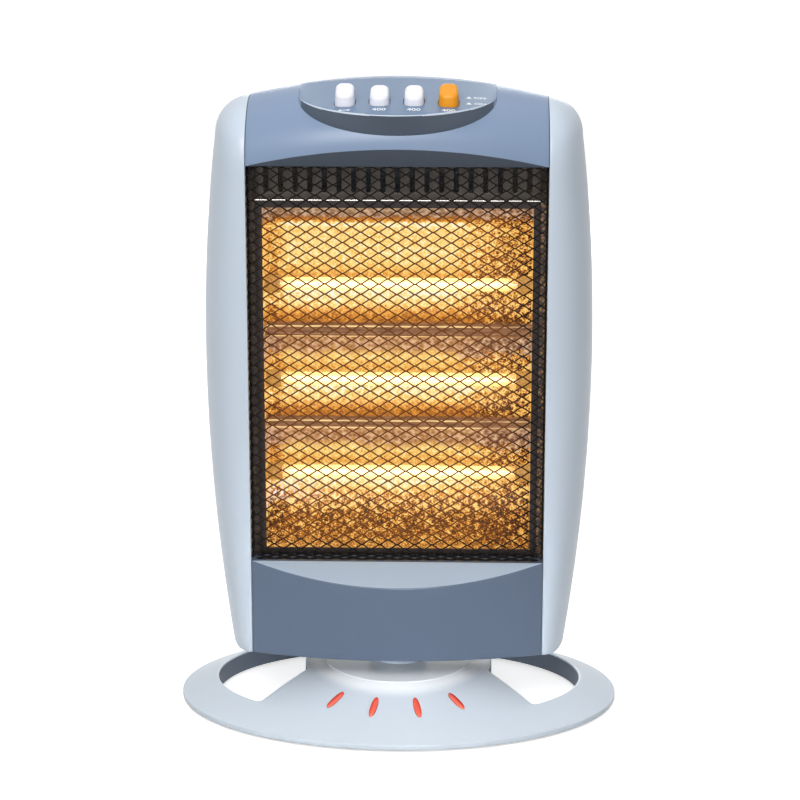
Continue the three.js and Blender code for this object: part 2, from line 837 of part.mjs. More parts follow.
// The head's outline at the split, drawn in by one margin and by another at its bottom;
// (z, x) pairs.
function headOutline(margin, bottomMargin) {
  const right = [];
  const bottom = headBottomZ + bottomMargin;
  for (const z of steps(bottom, shoulderZ, 8)) {
    right.push([bow(z) - margin, z]);
  }
  const archStart = Math.asin(windowHalfX / archRadius);
  for (const angle of steps(0, Math.PI / 2 - archStart, 5).slice(1)) {
    right.push([
      shoulderX + (shoulderRadius - margin) * Math.cos(angle),
      shoulderZ + (shoulderRadius - margin) * Math.sin(angle),
    ]);
  }
  for (const angle of steps(archStart, 0, 4).slice(1, 4)) {
    right.push([
      archRadius * Math.sin(angle) * (1 - margin / windowHalfX),
      headTopZ - margin - archRadius + archRadius * Math.cos(angle),
    ]);
  }
  const left = right.map(([x, z]) => [-x, z]).reverse();
  const all = [...right, [0, headTopZ - margin], ...left];
  return all.map(([x, z]) => new THREE.Vector2(z - backDrop(splitY, z), x)).reverse();
}

const rearRoundY = rearY - rearEdgeRadius * (1 - Math.sin(rearDraft));
const rearTaper = (rearRoundY - splitY - clearance) * Math.tan(rearDraft);

// The rear cover's block: it tapers back from the split, then rounds over to its rear face.
function rearLoft(shrink) {
  const startY = splitY + clearance;
  const radius = rearEdgeRadius - shrink;
  const rounds = steps(rearDraft, Math.PI / 2, 4).map((angle) => {
    const y = rearY - rearEdgeRadius + radius * Math.sin(angle);
    const taper = (y - startY) * Math.tan(rearDraft);
    const over = Math.cos(rearDraft) - Math.cos(angle);
    const bottom = shrink + radius * (1 - Math.cos(angle));
    return { at: y, points: headOutline(shrink + Math.min(taper, rearTaper) + radius * over, bottom) };
  });
  const start = {
    at: startY - (shrink > 0 ? 1 : 0),
    points: headOutline(shrink, shrink),
  };
  return loft([start, ...rounds], stackY);
}

function makeRearCover() {
  let cover = rearLoft(0).subtract(rearLoft(wall));
  cover = cover.subtract(gripBlock(wall + clearance, rearY - 2 * wall, rearY + wall));
  const slots = [];
  for (const [startZ, rows] of [[upperLouvreZ, upperLouvreRows], [lowerLouvreZ, lowerLouvreRows]]) {
    for (let row = 0; row < rows; row++) {
      for (const side of [-1, 1]) {
        slots.push([side * (louvreGap / 2 + louvreWidth / 2), startZ + row * louvrePitch]);
      }
    }
  }
  for (const [x, z] of slots) {
    cover = cover.subtract(
      box(
        x - louvreWidth / 2, x + louvreWidth / 2,
        rearY - wall - 5, rearY + 5,
        z, z + louvreHeight
      )
    );
  }
  const holeReach = 2 * wall;
  const glandHole = disc(glandRadius - glandFlange + clearance, -holeReach, holeReach, 20)
    .rotate([90, 0, 0])
    .translate([glandX, rearY, glandZ]);
  const neckRoom = disc(washerRadius + 4, headBottomZ - 1, headBottomZ + wall + 1, 20);
  return cover.subtract(glandHole).subtract(neckRoom);
}

// A block round the grip's hollow, grown by a margin, between two places along Y.
function gripBlock(margin, y0, y1) {
  return box(
    -gripHalfX - margin, gripHalfX + margin,
    y0, y1,
    gripBottomZ - margin, gripBottomZ + gripHeight + margin
  );
}

// The cup that takes the fingers of a carrying hand, let into the rear cover.
function makeGripCup() {
  const lipY = rearY + clearance;
  const lip = gripBlock(gripLip, lipY, lipY + gripLipThickness);
  const body = gripBlock(wall, rearY - gripDepth - wall, lipY + gripLipThickness / 2);
  const hollow = gripBlock(0, rearY - gripDepth, lipY + 2 * gripLipThickness);
  return lip.add(body).subtract(hollow);
}

function makeGland() {
  const neck = glandRadius - glandFlange;
  return turned(
    [
      [glandBore, -wall - 3],
      [neck + 1.5, -wall - 3],
      [neck + 1.5, -wall - clearance],
      [neck, -wall - clearance],
      [neck, clearance],
      [glandRadius, clearance],
      [glandRadius, glandFlange],
      [glandRadius - 1.5, glandFlange + 3],
      [glandBore, glandFlange + 3],
    ],
    12
  )
    .rotate([-90, 0, 0])
    .translate([glandX, rearY, glandZ]);
}

// ---------------------------------------------------------------- chassis and swing drive

function makeChassisFloor() {
  const inner = windowHalfX - wall - 2 * clearance;
  const floorRearY = rearY - rearEdgeRadius;
  const plate = box(-inner, inner, frontY + 6, floorRearY, chassisZ, chassisZ + floorThickness);
  let floor = plate.subtract(disc(spigotRadius + clearance, 0, spigotTopZ, 20));
  const earY = flangeY + sheet + clearance;
  for (const side of [-1, 1]) {
    floor = floor.add(
      box(
        side * earX - earWidth / 2, side * earX + earWidth / 2,
        earY, earY + floorThickness,
        chassisZ, flangeBottomZ + 9
      )
    );
  }
  return floor;
}

function makeMotorBracket() {
  const z0 = chassisZ + floorThickness + clearance;
  const top = motorBracketZ + sheet;
  const y0 = crankDistance - bracketWidth / 2;
  const y1 = crankDistance + bracketWidth / 2;
  let bracket = box(-bracketLegX, bracketLegX, y0, y1, motorBracketZ, top);
  for (const side of [-1, 1]) {
    const legX = side * (bracketLegX - sheet / 2);
    const footX1 = side * (bracketLegX + bracketFoot);
    bracket = bracket
      .add(box(legX - sheet / 2, legX + sheet / 2, y0, y1, z0, top))
      .add(box(
        Math.min(legX, footX1), Math.max(legX, footX1),
        y0, y1,
        z0, z0 + sheet
      ));
  }
  const hole = disc(motorShaftRadius + 1.5, 0, motorZ, 16).translate([0, crankDistance, 0]);
  return bracket.subtract(hole);
}

function makeMotor() {
  const body = disc(motorRadius, motorZ, motorZ + motorHeight, 24);
  const shaft = disc(motorShaftRadius, camZ + clearance, motorZ + 1, 12);
  return body.add(shaft).translate([0, crankDistance, 0]);
}

function makeCrank() {
  const cam = ring(motorShaftRadius + clearance, camRadius, camZ, camZ + camThickness, 16);
  const pin = disc(crankPinRadius, slotPlateZ + clearance, camZ + 1, 12);
  return cam.add(pin.translate([0, crankThrow, 0])).translate([0, crankDistance, 0]);
}

function makeTerminalBlock() {
  const z0 = chassisZ + floorThickness + clearance;
  const size = terminalSize;
  const x = -bracketLegX - bracketFoot - terminalGap - size.x / 2;
  const y = terminalY;
  let block = box(x - size.x / 2, x + size.x / 2, y - size.y / 2, y + size.y / 2, z0, z0 + size.z);
  for (let i = -1; i <= 1; i++) {
    const well = disc(terminalWellRadius, z0 + size.z - terminalWellDepth, z0 + size.z + 1, 10);
    block = block.subtract(well.translate([x + i * terminalPitch, y, 0]));
  }
  return block;
}

// ---------------------------------------------------------------- grille and vent plate

function makeGrille() {
  const right = windowHalfX - clearance;
  const top = windowTopZ - clearance;
  const bottom = windowBottomZ + clearance;
  const gaps = [];
  const field = {
    left: -right + grilleBorder,
    right: right - grilleBorder,
    bottom: bottom + grilleBorder,
    top: top - grilleBorder,
  };
  const pitchX = (field.right - field.left) / meshColumns;
  const pitchZ = (field.top - field.bottom) / meshRows;
  const strand = strandWidth / 2;
  const slant = Math.hypot(pitchX, pitchZ);
  const halfX = pitchX / 2 - (strand * slant) / pitchZ;
  const halfZ = pitchZ / 2 - (strand * slant) / pitchX;
  const lastColumn = 2 * meshColumns;
  const lastRow = 2 * meshRows;
  for (let i = 0; i <= lastColumn; i++) {
    for (let j = 0; j <= lastRow; j++) {
      const x = field.left + (i * pitchX) / 2;
      const z = field.bottom + (j * pitchZ) / 2;
      const atSide = i === 0 || i === lastColumn;
      const atEnd = j === 0 || j === lastRow;
      if ((i + j) % 2 === 1 || (atSide && atEnd)) {
        continue;
      }
      const diamond = [
        i > 0 && [x - halfX, z],
        j > 0 && [x, z - halfZ],
        i < lastColumn && [x + halfX, z],
        j < lastRow && [x, z + halfZ],
      ];
      gaps.push(outline(diamond.filter(Boolean)));
    }
  }
  const tray = box(-right, right, frontY, frontY + grilleDepth, bottom, top).subtract(
    box(
      -right + grilleThickness, right - grilleThickness,
      frontY + grilleThickness, frontY + grilleDepth + 1,
      bottom + grilleThickness, top - grilleThickness
    )
  );
  return tray.subtract(alongY(gaps, frontY - 1, frontY + grilleThickness + 1));
}

function makeVentPlate() {
  const shape = outline([
    [-flangeHalfX, flangeTopZ + clearance],
    [flangeHalfX, flangeTopZ + clearance],
    [flangeHalfX, ventTopZ],
    [-flangeHalfX, ventTopZ],
  ]);
  const radius = slotWidth / 2;
  for (let i = 0; i < slotCount; i++) {
    const x = (i - (slotCount - 1) / 2) * slotPitch;
    const slot = new THREE.Path();
    slot.absarc(x, slotBottomZ + radius, radius, Math.PI, 2 * Math.PI, false);
    slot.lineTo(x + radius, slotTopZ);
    slot.lineTo(x - radius, slotTopZ);
    shape.holes.push(slot);
  }
  const geometry = new THREE.ExtrudeGeometry(shape, {
    depth: sheet,
    bevelEnabled: false,
    curveSegments: 2,
  });
  geometry.rotateX(Math.PI / 2);
  const y0 = mountRibY - clearance - sheet;
  geometry.translate(0, y0 + sheet, 0);
  const lip = box(
    -flangeHalfX, flangeHalfX,
    flangeY, y0 + sheet,
    flangeTopZ + clearance, flangeTopZ + clearance + sheet
  );
  return toSolid(geometry).add(lip);
}

// ---------------------------------------------------------------- reflector and lamps

// The reflector's curve seen from the side: three troughs behind the lamps, with a flat strip
// between neighbours.
function reflectorCurve() {
  const points = [];
  const upper = lampZ[0];
  const lower = lampZ.at(-1);
  for (const angle of steps(Math.PI / 2, 0, 8)) {
    points.push([
      flangeY + (troughY - flangeY) * Math.cos(angle),
      upper + (reflectorTopZ - upper) * Math.sin(angle),
    ]);
  }
  for (let i = 0; i < lampZ.length - 1; i++) {
    const half = (lampZ[i] - lampZ[i + 1]) / 2 - ridgeHalf;
    const depth = troughY - ridgeY;
    for (const angle of steps(0, Math.PI / 2, 4).slice(1)) {
      points.push([ridgeY + depth * Math.cos(angle), lampZ[i] - half * Math.sin(angle)]);
    }
    for (const angle of steps(Math.PI / 2, 0, 4)) {
      points.push([ridgeY + depth * Math.cos(angle), lampZ[i + 1] + half * Math.sin(angle)]);
    }
  }
  for (const angle of steps(0, Math.PI / 2, 8).slice(1)) {
    points.push([
      flangeY + (troughY - flangeY) * Math.cos(angle),
      lower - (lower - reflectorBottomZ) * Math.sin(angle),
    ]);
  }
  return points.map(([y, z]) => new THREE.Vector2(y, z));
}

function makeReflector() {
  const curve = reflectorCurve();
  const closed = [...curve].reverse();
  const behind = inset(closed, -sheet).map((point) => {
    point.x = Math.max(point.x, flangeY);
    return point;
  });
  const bodyShape = new THREE.Shape(behind);
  const hollowShape = new THREE.Shape(closed.map((point, i) => {
    const end = i === 0 || i === closed.length - 1;
    return end ? new THREE.Vector2(flangeY - 3, point.y) : point;
  }));
  let pan = alongX(bodyShape, -reflectorHalfX - sheet, reflectorHalfX + sheet);
  pan = pan.subtract(alongX(hollowShape, -reflectorHalfX, reflectorHalfX));
  const frame = outline([
    [-flangeHalfX, flangeBottomZ],
    [flangeHalfX, flangeBottomZ],
    [flangeHalfX, flangeTopZ],
    [-flangeHalfX, flangeTopZ],
  ]);
  frame.holes.push(new THREE.Path([
    new THREE.Vector2(-reflectorHalfX, reflectorBottomZ),
    new THREE.Vector2(reflectorHalfX, reflectorBottomZ),
    new THREE.Vector2(reflectorHalfX, reflectorTopZ),
    new THREE.Vector2(-reflectorHalfX, reflectorTopZ),
  ]));
  pan = pan.add(alongY(frame, flangeY, flangeY + sheet));
  for (const z of lampZ) {
    const hole = disc(capRadius + capHoleClearance, -reflectorHalfX - 9, reflectorHalfX + 9, 20);
    pan = pan.subtract(hole.rotate([0, 90, 0]).translate([0, lampY, z]));
  }
  return pan;
}

function makeLampBracket(side) {
  const y0 = flangeY + sheet + clearance;
  const shape = outline([
    [y0, lampZ.at(-1) - lampBracketMargin],
    [y0 + lampBracketDepth, lampZ.at(-1) - lampBracketMargin],
    [y0 + lampBracketDepth, lampZ[0] + lampBracketMargin],
    [y0, lampZ[0] + lampBracketMargin],
  ]);
  for (const z of lampZ) {
    shape.holes.push(circlePath(lampY, z, capRadius + clearance));
  }
  const plate = alongX(shape, lampBracketX, lampBracketX + sheet);
  return side > 0 ? plate : plate.mirror([1, 0, 0]);
}

function makeTube(z) {
  return ring(tubeRadius - tubeWall, tubeRadius, -tubeHalfLength, tubeHalfLength, 14)
    .rotate([0, 90, 0])
    .translate([0, lampY, z]);
}

function makeCeramicCap(side, z) {
  const floor = tubeHalfLength + clearance;
  const bore = tubeRadius + clearance;
  const lead = filamentWire / 2 + 1;
  const cap = turned(
    [
      [lead, floor],
      [bore, floor],
      [bore, capInnerX],
      [capRadius, capInnerX],
      [capRadius, capOuterX],
      [lead, capOuterX],
    ],
    12
  )
    .rotate([0, 90, 0])
    .translate([0, lampY, z]);
  return side > 0 ? cap : cap.mirror([1, 0, 0]);
}

// The heating coil: one unbroken wire with straight ends that run into the caps.
function coilPoints(stepsPerTurn) {
  const points = [new THREE.Vector3(-filamentEndX, 0, 0)];
  for (const part of steps(-1, 1, filamentTurns * stepsPerTurn)) {
    const angle = part * filamentTurns * Math.PI;
    const radius = Math.abs(part) === 1 ? 0 : filamentRadius;
    points.push(
      new THREE.Vector3(
        part * filamentHalfLength,
        radius * Math.cos(angle),
        radius * Math.sin(angle)
      )
    );
  }
  points.push(new THREE.Vector3(filamentEndX, 0, 0));
  return points;
}

function makeFilament(z) {
  const centres = coilPoints(filamentSteps);
  const count = centres.length - 1;
  const radius = filamentWire / 2;
  const positions = [];
  const index = [];
  for (const [i, centre] of centres.entries()) {
    const ahead = centres[Math.min(count, i + 1)];
    const behind = centres[Math.max(0, i - 1)];
    const tangent = ahead.clone().sub(behind).normalize();
    const side = new THREE.Vector3(0, 0, 1).cross(tangent).normalize();
    const up = tangent.clone().cross(side);
    for (let j = 0; j < filamentSides; j++) {
      const angle = (j / filamentSides) * 2 * Math.PI;
      const point = centre.clone()
        .addScaledVector(side, radius * Math.cos(angle))
        .addScaledVector(up, radius * Math.sin(angle));
      positions.push(point.x, point.y, point.z);
    }
  }
  for (let i = 0; i < count; i++) {
    for (let j = 0; j < filamentSides; j++) {
      const a = i * filamentSides + j;
      const b = i * filamentSides + ((j + 1) % filamentSides);
      index.push(a, b, b + filamentSides);
      index.push(a, b + filamentSides, a + filamentSides);
    }
  }
  const last = count * filamentSides;
  for (let j = 1; j < filamentSides - 1; j++) {
    index.push(0, j + 1, j);
    index.push(last, last + j, last + j + 1);
  }
  const geometry = new THREE.BufferGeometry();
  geometry.setAttribute('position', new THREE.Float32BufferAttribute(positions, 3));
  geometry.setIndex(index);
  return toSolid(geometry).translate([0, lampY, z]);
}

// The least gap between neighbouring turns of the coil, measured on its own points.
function coilGap() {
  const points = coilPoints(40);
  const halfTurn = filamentHalfLength / filamentTurns;
  let least = Infinity;
  for (const [i, point] of points.entries()) {
    for (const other of points.slice(i + 1)) {
      if (other.x - point.x > halfTurn) {
        least = Math.min(least, point.distanceTo(other));
      }
    }
  }
  return least - filamentWire;
}

console.log(`least gap between turns of the heating coil: ${coilGap().toFixed(2)} mm`);

// ---------------------------------------------------------------- buttons and switches

function makeButton(i) {
  const sink = buttonStates[i];
  const crownShape = (scale) => roundedRectangle(
    buttonWidth * scale, buttonDepth * scale, buttonCorner * scale
  );
  const root = -wall - clearance;
  const profile = [[1, root], [1, 0.68], [0.96, 0.88], [0.84, 1]]; // scale, share of the rise
  const sections = profile.map(([scale, part]) => ({
    at: part,
    points: crownShape(scale).getPoints(3).slice(0, -1),
  }));
  const rise = (y) => THREE.MathUtils.mapLinear(
    y, -buttonDepth / 2, buttonDepth / 2, buttonFrontRise, buttonRearRise
  );
  const cap = loft(sections, (point, at) => [
    point.x,
    point.y,
    at < 0 ? at : at * rise(point.y),
  ]);
  const flange = box(
    -buttonWidth / 2 - buttonFlange, buttonWidth / 2 + buttonFlange,
    0, buttonDepth / 2 + buttonFlange,
    root - buttonFlange, root
  );
  const stem = box(
    -stemWidth / 2, stemWidth / 2, -stemWidth / 2, stemWidth / 2,
    -switchBracketDepth - sheet, root + 0.5
  );
  const button = cap.add(flange).add(stem);
  return onControl(button.translate([0, 0, -sink]), buttonX[i], buttonY);
}

function makeSwitchBracket() {
  const top = -switchBracketDepth;
  const fall = headTopZ - archZ(switchBracketHalfX);
  let bracket = box(
    -switchBracketHalfX, switchBracketHalfX,
    -switchFront, switchBracketRear,
    top - sheet, top
  );
  for (const side of [-1, 1]) {
    const x = side * (switchBracketHalfX - sheet / 2);
    bracket = bracket.add(
      box(
        x - sheet / 2, x + sheet / 2,
        stemWidth, switchBracketRear,
        top - sheet, -wall - clearance - fall
      )
    );
  }
  for (const x of buttonX) {
    const gap = stemWidth / 2 + 1;
    bracket = bracket.subtract(
      box(x - gap, x + gap, -switchFront - 1, gap, top - 2 * sheet, top + sheet)
    );
  }
  return onControl(bracket, 0, buttonY);
}

function makeSwitch(i) {
  const top = -switchBracketDepth - sheet - clearance;
  const body = box(
    -switchSize.x / 2, switchSize.x / 2,
    -switchFront, switchSize.y - switchFront,
    top - switchSize.z, top
  );
  const well = stemWidth / 2 + 0.6;
  const depth = buttonTravel + buttonLatched + 2;
  const fall = headTopZ - archZ(buttonX[i]);
  return onControl(
    body.subtract(box(-well, well, -well, well, top - depth, top + 1)).translate([0, 0, fall]),
    buttonX[i],
    buttonY
  );
}

// ---------------------------------------------------------------- assembly

const heater = new THREE.Group();

function add(name, solid, finish) {
  heater.add(toMesh(name, solid, finish));
}

add('base_shell', makeBaseShell(), materials.shellGrey);
add('base_bottom_plate', makeBottomPlate(), materials.zinc);
for (const [i, [signX, signY]] of [[-1, -1], [1, -1], [1, 1], [-1, 1]].entries()) {
  const foot = makeFoot().translate([signX * footX, signY * footY, 0]);
  add(`foot_${i + 1}`, foot, materials.rubber);
}
for (const [i, marker] of markers.entries()) {
  add(`base_marker_${i + 1}`, markerSolid(marker, 0), materials.markerRed);
}
add('neck_post', makeNeck(), materials.shellGrey);
add('pivot_washer', onSpigot(washerRadius, washerZ, washerThickness), materials.acetal);
add('pivot_nut', onSpigot(nutRadius, nutZ, nutHeight), materials.steel);
add('swing_slot_plate', makeSlotPlate(), materials.zinc);
add('tip_switch', makeTipSwitch(), materials.blackPlastic);
add('tip_plunger', makeTipPlunger(), materials.acetal);

add('side_cover_left', makeSideCover(-1), materials.shellGrey);
add('side_cover_right', makeSideCover(1), materials.shellGrey);
add('top_cover', makeTopCover(), materials.shellBlue);
add('lower_front_panel', makeLowerPanel(), materials.shellBlue);
add('rear_cover', makeRearCover(), materials.shellGrey);
add('grip_cup', makeGripCup(), materials.shellGrey);
add('cord_gland', makeGland(), materials.rubber);
add('chassis_floor', makeChassisFloor(), materials.zinc);
add('motor_bracket', makeMotorBracket(), materials.zinc);
add('swing_motor', makeMotor(), materials.steel);
add('swing_crank', makeCrank(), materials.acetal);
add('terminal_block', makeTerminalBlock(), materials.ceramic);

add('grille', makeGrille(), materials.meshBlack);
add('vent_plate', makeVentPlate(), materials.zinc);
add('reflector', makeReflector(), materials.reflector);
add('lamp_bracket_left', makeLampBracket(-1), materials.zinc);
add('lamp_bracket_right', makeLampBracket(1), materials.zinc);
for (const [i, z] of lampZ.entries()) {
  add(`quartz_tube_${i + 1}`, makeTube(z), materials.quartz);
  add(`filament_${i + 1}`, makeFilament(z), materials.filament);
  add(`ceramic_cap_${i + 1}_left`, makeCeramicCap(-1, z), materials.ceramic);
  add(`ceramic_cap_${i + 1}_right`, makeCeramicCap(1, z), materials.ceramic);
}

add('switch_bracket', makeSwitchBracket(), materials.zinc);
for (let i = 0; i < buttonStates.length; i++) {
  const isPower = i === buttonStates.length - 1;
  add(`button_${i + 1}`, makeButton(i), isPower ? materials.buttonOrange : materials.buttonWhite);
  add(`switch_${i + 1}`, makeSwitch(i), materials.blackPlastic);
}

export default heater;
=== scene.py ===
import json
import math

import bmesh
import bpy
import numpy as np
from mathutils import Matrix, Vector, geometry, noise


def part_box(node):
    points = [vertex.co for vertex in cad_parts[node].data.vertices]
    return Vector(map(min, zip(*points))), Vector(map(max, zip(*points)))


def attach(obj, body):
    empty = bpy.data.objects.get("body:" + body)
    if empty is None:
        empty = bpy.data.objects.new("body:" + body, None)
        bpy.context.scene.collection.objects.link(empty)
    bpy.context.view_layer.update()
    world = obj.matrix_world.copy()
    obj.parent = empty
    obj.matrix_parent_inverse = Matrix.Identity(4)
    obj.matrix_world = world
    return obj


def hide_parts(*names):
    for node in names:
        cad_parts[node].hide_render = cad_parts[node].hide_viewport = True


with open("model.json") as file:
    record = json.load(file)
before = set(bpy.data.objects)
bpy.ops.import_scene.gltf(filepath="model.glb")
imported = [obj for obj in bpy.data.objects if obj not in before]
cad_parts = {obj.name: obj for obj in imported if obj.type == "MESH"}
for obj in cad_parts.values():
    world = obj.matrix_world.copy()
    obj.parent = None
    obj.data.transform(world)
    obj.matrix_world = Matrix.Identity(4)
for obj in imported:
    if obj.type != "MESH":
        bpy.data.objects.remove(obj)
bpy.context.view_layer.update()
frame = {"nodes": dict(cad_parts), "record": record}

# A halogen heater. Shapes are built in millimetres in the frame of the solids, and
# finish_piece() turns them into metres.

MM = 0.001
scene = bpy.context.scene


def mm_box(node):
    low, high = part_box(node)
    return low / MM, high / MM


# ------------------------------------------------------------------ sizes from the frame

SIDE_BOX, REAR_BOX, GRILLE_BOX = map(mm_box, ("side_cover_right", "rear_cover", "grille"))
WINDOW_X, SPLIT_Y = SIDE_BOX[0].x, SIDE_BOX[1].y
HEAD_BOTTOM, HEAD_TOP, REAR_Y = REAR_BOX[0].z, REAR_BOX[1].z, REAR_BOX[1].y
FRONT_Y, GRILLE_BACK_Y = GRILLE_BOX[0].y, GRILLE_BOX[1].y
CLEARANCE = 0.3
WINDOW_BOTTOM, WINDOW_TOP = GRILLE_BOX[0].z - CLEARANCE, GRILLE_BOX[1].z + CLEARANCE
PANEL_X = WINDOW_X - CLEARANCE
WALL = 2.5
SHEET = 1.2
LAMP_Y = 5.0
TUBE_BOXES = [mm_box(f"quartz_tube_{i}") for i in (1, 2, 3)]
LAMP_Z = [(low.z + high.z) / 2 for low, high in TUBE_BOXES]
TUBE_X = TUBE_BOXES[0][1].x
TUBE_RADIUS = (TUBE_BOXES[0][1].z - TUBE_BOXES[0][0].z) / 2

# ------------------------------------------------------------------ sizes of the head

CORNER_Z = HEAD_TOP - 15
WIDEST_X = WINDOW_X + 39.6
WIDEST_Z = HEAD_BOTTOM + 0.53 * (HEAD_TOP - HEAD_BOTTOM)
LOWER_BOW, UPPER_BOW = 1617, 1400
SHOULDER = 31
CREST_Y = 10
REAR_EDGE = 22
BACK_FALL = 1.5  # how far the top falls from its crest to the split
REAR_DRAFT = math.radians(9)
TOP_BULGE = 15
BEVEL_HEIGHT = 16
LEDGE_X = 78.5
LEDGE_REACH = 51.5
LEDGE_TIP = math.radians(62.5)
LEDGE_ROOT = math.radians(14.2)
LEDGE_SLOPE = 20 / 82
LEDGE_LIP = 1.3  # radius of the control surface's rolled edge
SILL_REACH = 27
SILL_DROP = 12.9
FOOT_REACH = 18
SEAM_ROUND = 0.8  # rounding of the panels' edges along the seams

BUTTON_X = [-40.5, -13.5, 13.5, 40.5]
BUTTON_Y = -43.5
BUTTON_WIDTH, BUTTON_DEPTH, BUTTON_CORNER = 16, 19, 6
BUTTON_FRONT, BUTTON_REAR = 9.6, 14.6
BUTTON_SINK = [0, 3, 3, 0]
BUTTON_EDGE = 3.2  # height of the rounding round a button's top
BUTTON_FLANGE_OUTER, BUTTON_FLANGE_INNER = 8.3, 9.5
BUTTON_FLANGE_REAR, BUTTON_FLANGE_THICKNESS = 11, 1.5
STEM_HALF, STEM_END = 3, -12

FLANGE_Y = -25
FLANGE_X = WINDOW_X - 6
FLANGE_TOP = WINDOW_TOP - 31.4
FLANGE_BOTTOM = WINDOW_BOTTOM - 12.5
REFLECTOR_X = WINDOW_X - 11
REFLECTOR_TOP = FLANGE_TOP - 5.1
REFLECTOR_BOTTOM = WINDOW_BOTTOM + 5
TROUGH_Y = 32
RIDGE_Y = 15.5
RIDGE_HALF = 6  # half the height of the flat strip between two troughs
# Heights of the painted highlight lines beside each strip's middle.
RIDGE_LINES = [(2.1, -7.7), (1.3, -4.6)]

# ------------------------------------------------------------------ colours and materials


def srgb(red, green, blue):
    """A display colour as the linear colour that a shader takes."""
    def linear(value):
        value /= 255
        return value / 12.92 if value <= 0.04045 else ((value + 0.055) / 1.055) ** 2.4

    return (linear(red), linear(green), linear(blue), 1)


class Shader:
    """A material's node tree, with short names for what the materials share."""

    def __init__(self, name):
        self.material = bpy.data.materials.new(name)
        self.material.use_nodes = True
        self.tree = self.material.node_tree
        self.bsdf = self.tree.nodes["Principled BSDF"]
        self.position = self.add("ShaderNodeTexCoord").outputs["Object"]

    def add(self, kind, **settings):
        node = self.tree.nodes.new(kind)
        for key, value in settings.items():
            setattr(node, key, value)
        return node

    def link(self, source, target):
        self.tree.links.new(source, target)

    def feed(self, socket, value):
        if isinstance(value, bpy.types.NodeSocket):
            self.link(value, socket)
        else:
            socket.default_value = value

    def math(self, operation, *values, clamp=False):
        node = self.add("ShaderNodeMath", operation=operation, use_clamp=clamp)
        for socket, value in zip(node.inputs, values):
            self.feed(socket, value)
        return node.outputs[0]

    def noise(self, scale, detail=2.0, vector=None):
        node = self.add("ShaderNodeTexNoise")
        node.inputs["Scale"].default_value = scale
        node.inputs["Detail"].default_value = detail
        self.link(vector or self.position, node.inputs["Vector"])
        return node.outputs["Fac"]

    def stretched(self, x, y, z):
        node = self.add("ShaderNodeMapping")
        node.inputs["Scale"].default_value = (x, y, z)
        self.link(self.position, node.inputs["Vector"])
        return node.outputs[0]

    def ramp(self, value, stops, interpolation="LINEAR"):
        node = self.add("ShaderNodeValToRGB")
        node.color_ramp.interpolation = interpolation
        elements = node.color_ramp.elements
        while len(elements) < len(stops):
            elements.new(0.5)
        for element, (place, color) in zip(elements, stops):
            element.position = place
            element.color = color
        self.link(value, node.inputs[0])
        return node.outputs[0]

    def along(self, axis):
        """The position along X, Y or Z."""
        node = self.add("ShaderNodeSeparateXYZ")
        self.link(self.position, node.inputs[0])
        return node.outputs[axis]

    def cells(self, scale, vector=None):
        node = self.add("ShaderNodeTexVoronoi")
        node.inputs["Scale"].default_value = scale
        self.link(vector or self.position, node.inputs["Vector"])
        return node.outputs

    def between(self, value, start, end):
        """0 before start, 1 after end, smooth in between."""
        node = self.add("ShaderNodeMapRange", interpolation_type="SMOOTHSTEP")
        self.link(value, node.inputs["Value"])
        node.inputs["From Min"].default_value = start
        node.inputs["From Max"].default_value = end
        return node.outputs[0]

    def spread(self, value, low, high):
        node = self.add("ShaderNodeMapRange")
        self.link(value, node.inputs["Value"])
        node.inputs["To Min"].default_value = low
        node.inputs["To Max"].default_value = high
        return node.outputs[0]

    def bump(self, height, distance, strength=1.0):
        node = self.add("ShaderNodeBump")
        node.inputs["Distance"].default_value = distance
        node.inputs["Strength"].default_value = strength
        self.link(height, node.inputs["Height"])
        self.link(node.outputs[0], self.bsdf.inputs["Normal"])

    def set(self, **values):
        for name, value in values.items():
            self.feed(self.bsdf.inputs[name.replace("_", " ")], value)


def tinted(shader, color, amount, value):
    """A colour that drifts by a share to both sides with a value from 0 to 1."""
    low = tuple(c * (1 - amount) for c in color[:3]) + (1,)
    high = tuple(min(1, c * (1 + amount)) for c in color[:3]) + (1,)
    return shader.ramp(value, [(0.3, low), (0.7, high)])


def plastic(name, color, roughness, grain=0.00002, grain_scale=1400, drift=0.02):
    shader = Shader(name)
    shader.set(
        Base_Color=tinted(shader, color, drift, shader.noise(9, 3)),
        Roughness=shader.spread(shader.noise(60, 3), roughness - 0.05, roughness + 0.05),
    )
    shader.bump(shader.noise(grain_scale, 2), grain)
    return shader.material


def metal(name, color, roughness):
    shader = Shader(name)
    streak = shader.noise(3, 3, shader.stretched(40, 900, 900))
    shader.set(
        Base_Color=tinted(shader, color, 0.08, shader.noise(35, 4)),
        Roughness=shader.spread(streak, roughness - 0.08, roughness + 0.08),
        Metallic=1.0,
    )
    shader.bump(streak, 0.00001)
    return shader.material


def zinc_plate():
    """Zinc-plated sheet: faint crystals and a warm bloom."""
    shader = Shader("zinc_sheet")
    crystals = shader.cells(160)
    shader.set(
        Base_Color=tinted(shader, srgb(66, 61, 57), 0.10, crystals["Color"]),
        Roughness=shader.spread(shader.noise(120, 4), 0.36, 0.52),
        Metallic=0.75,
    )
    shader.bump(crystals["Distance"], 0.00001)
    return shader.material


def blend(shader, part, first, second):
    """Two colours mixed by a value from 0 to 1."""
    node = shader.add("ShaderNodeMix", data_type="RGBA")
    shader.feed(node.inputs[0], part)
    shader.feed(node.inputs[6], first)
    shader.feed(node.inputs[7], second)
    return node.outputs[2]


def band(shader, value, low, high, blur):
    """1 where a value lies between two limits in millimetres, with soft ends."""
    limits = ((low - blur, low + blur), (high + blur, high - blur))
    ends = [shader.between(value, start * MM, end * MM) for start, end in limits]
    return shader.math("MULTIPLY", *ends)


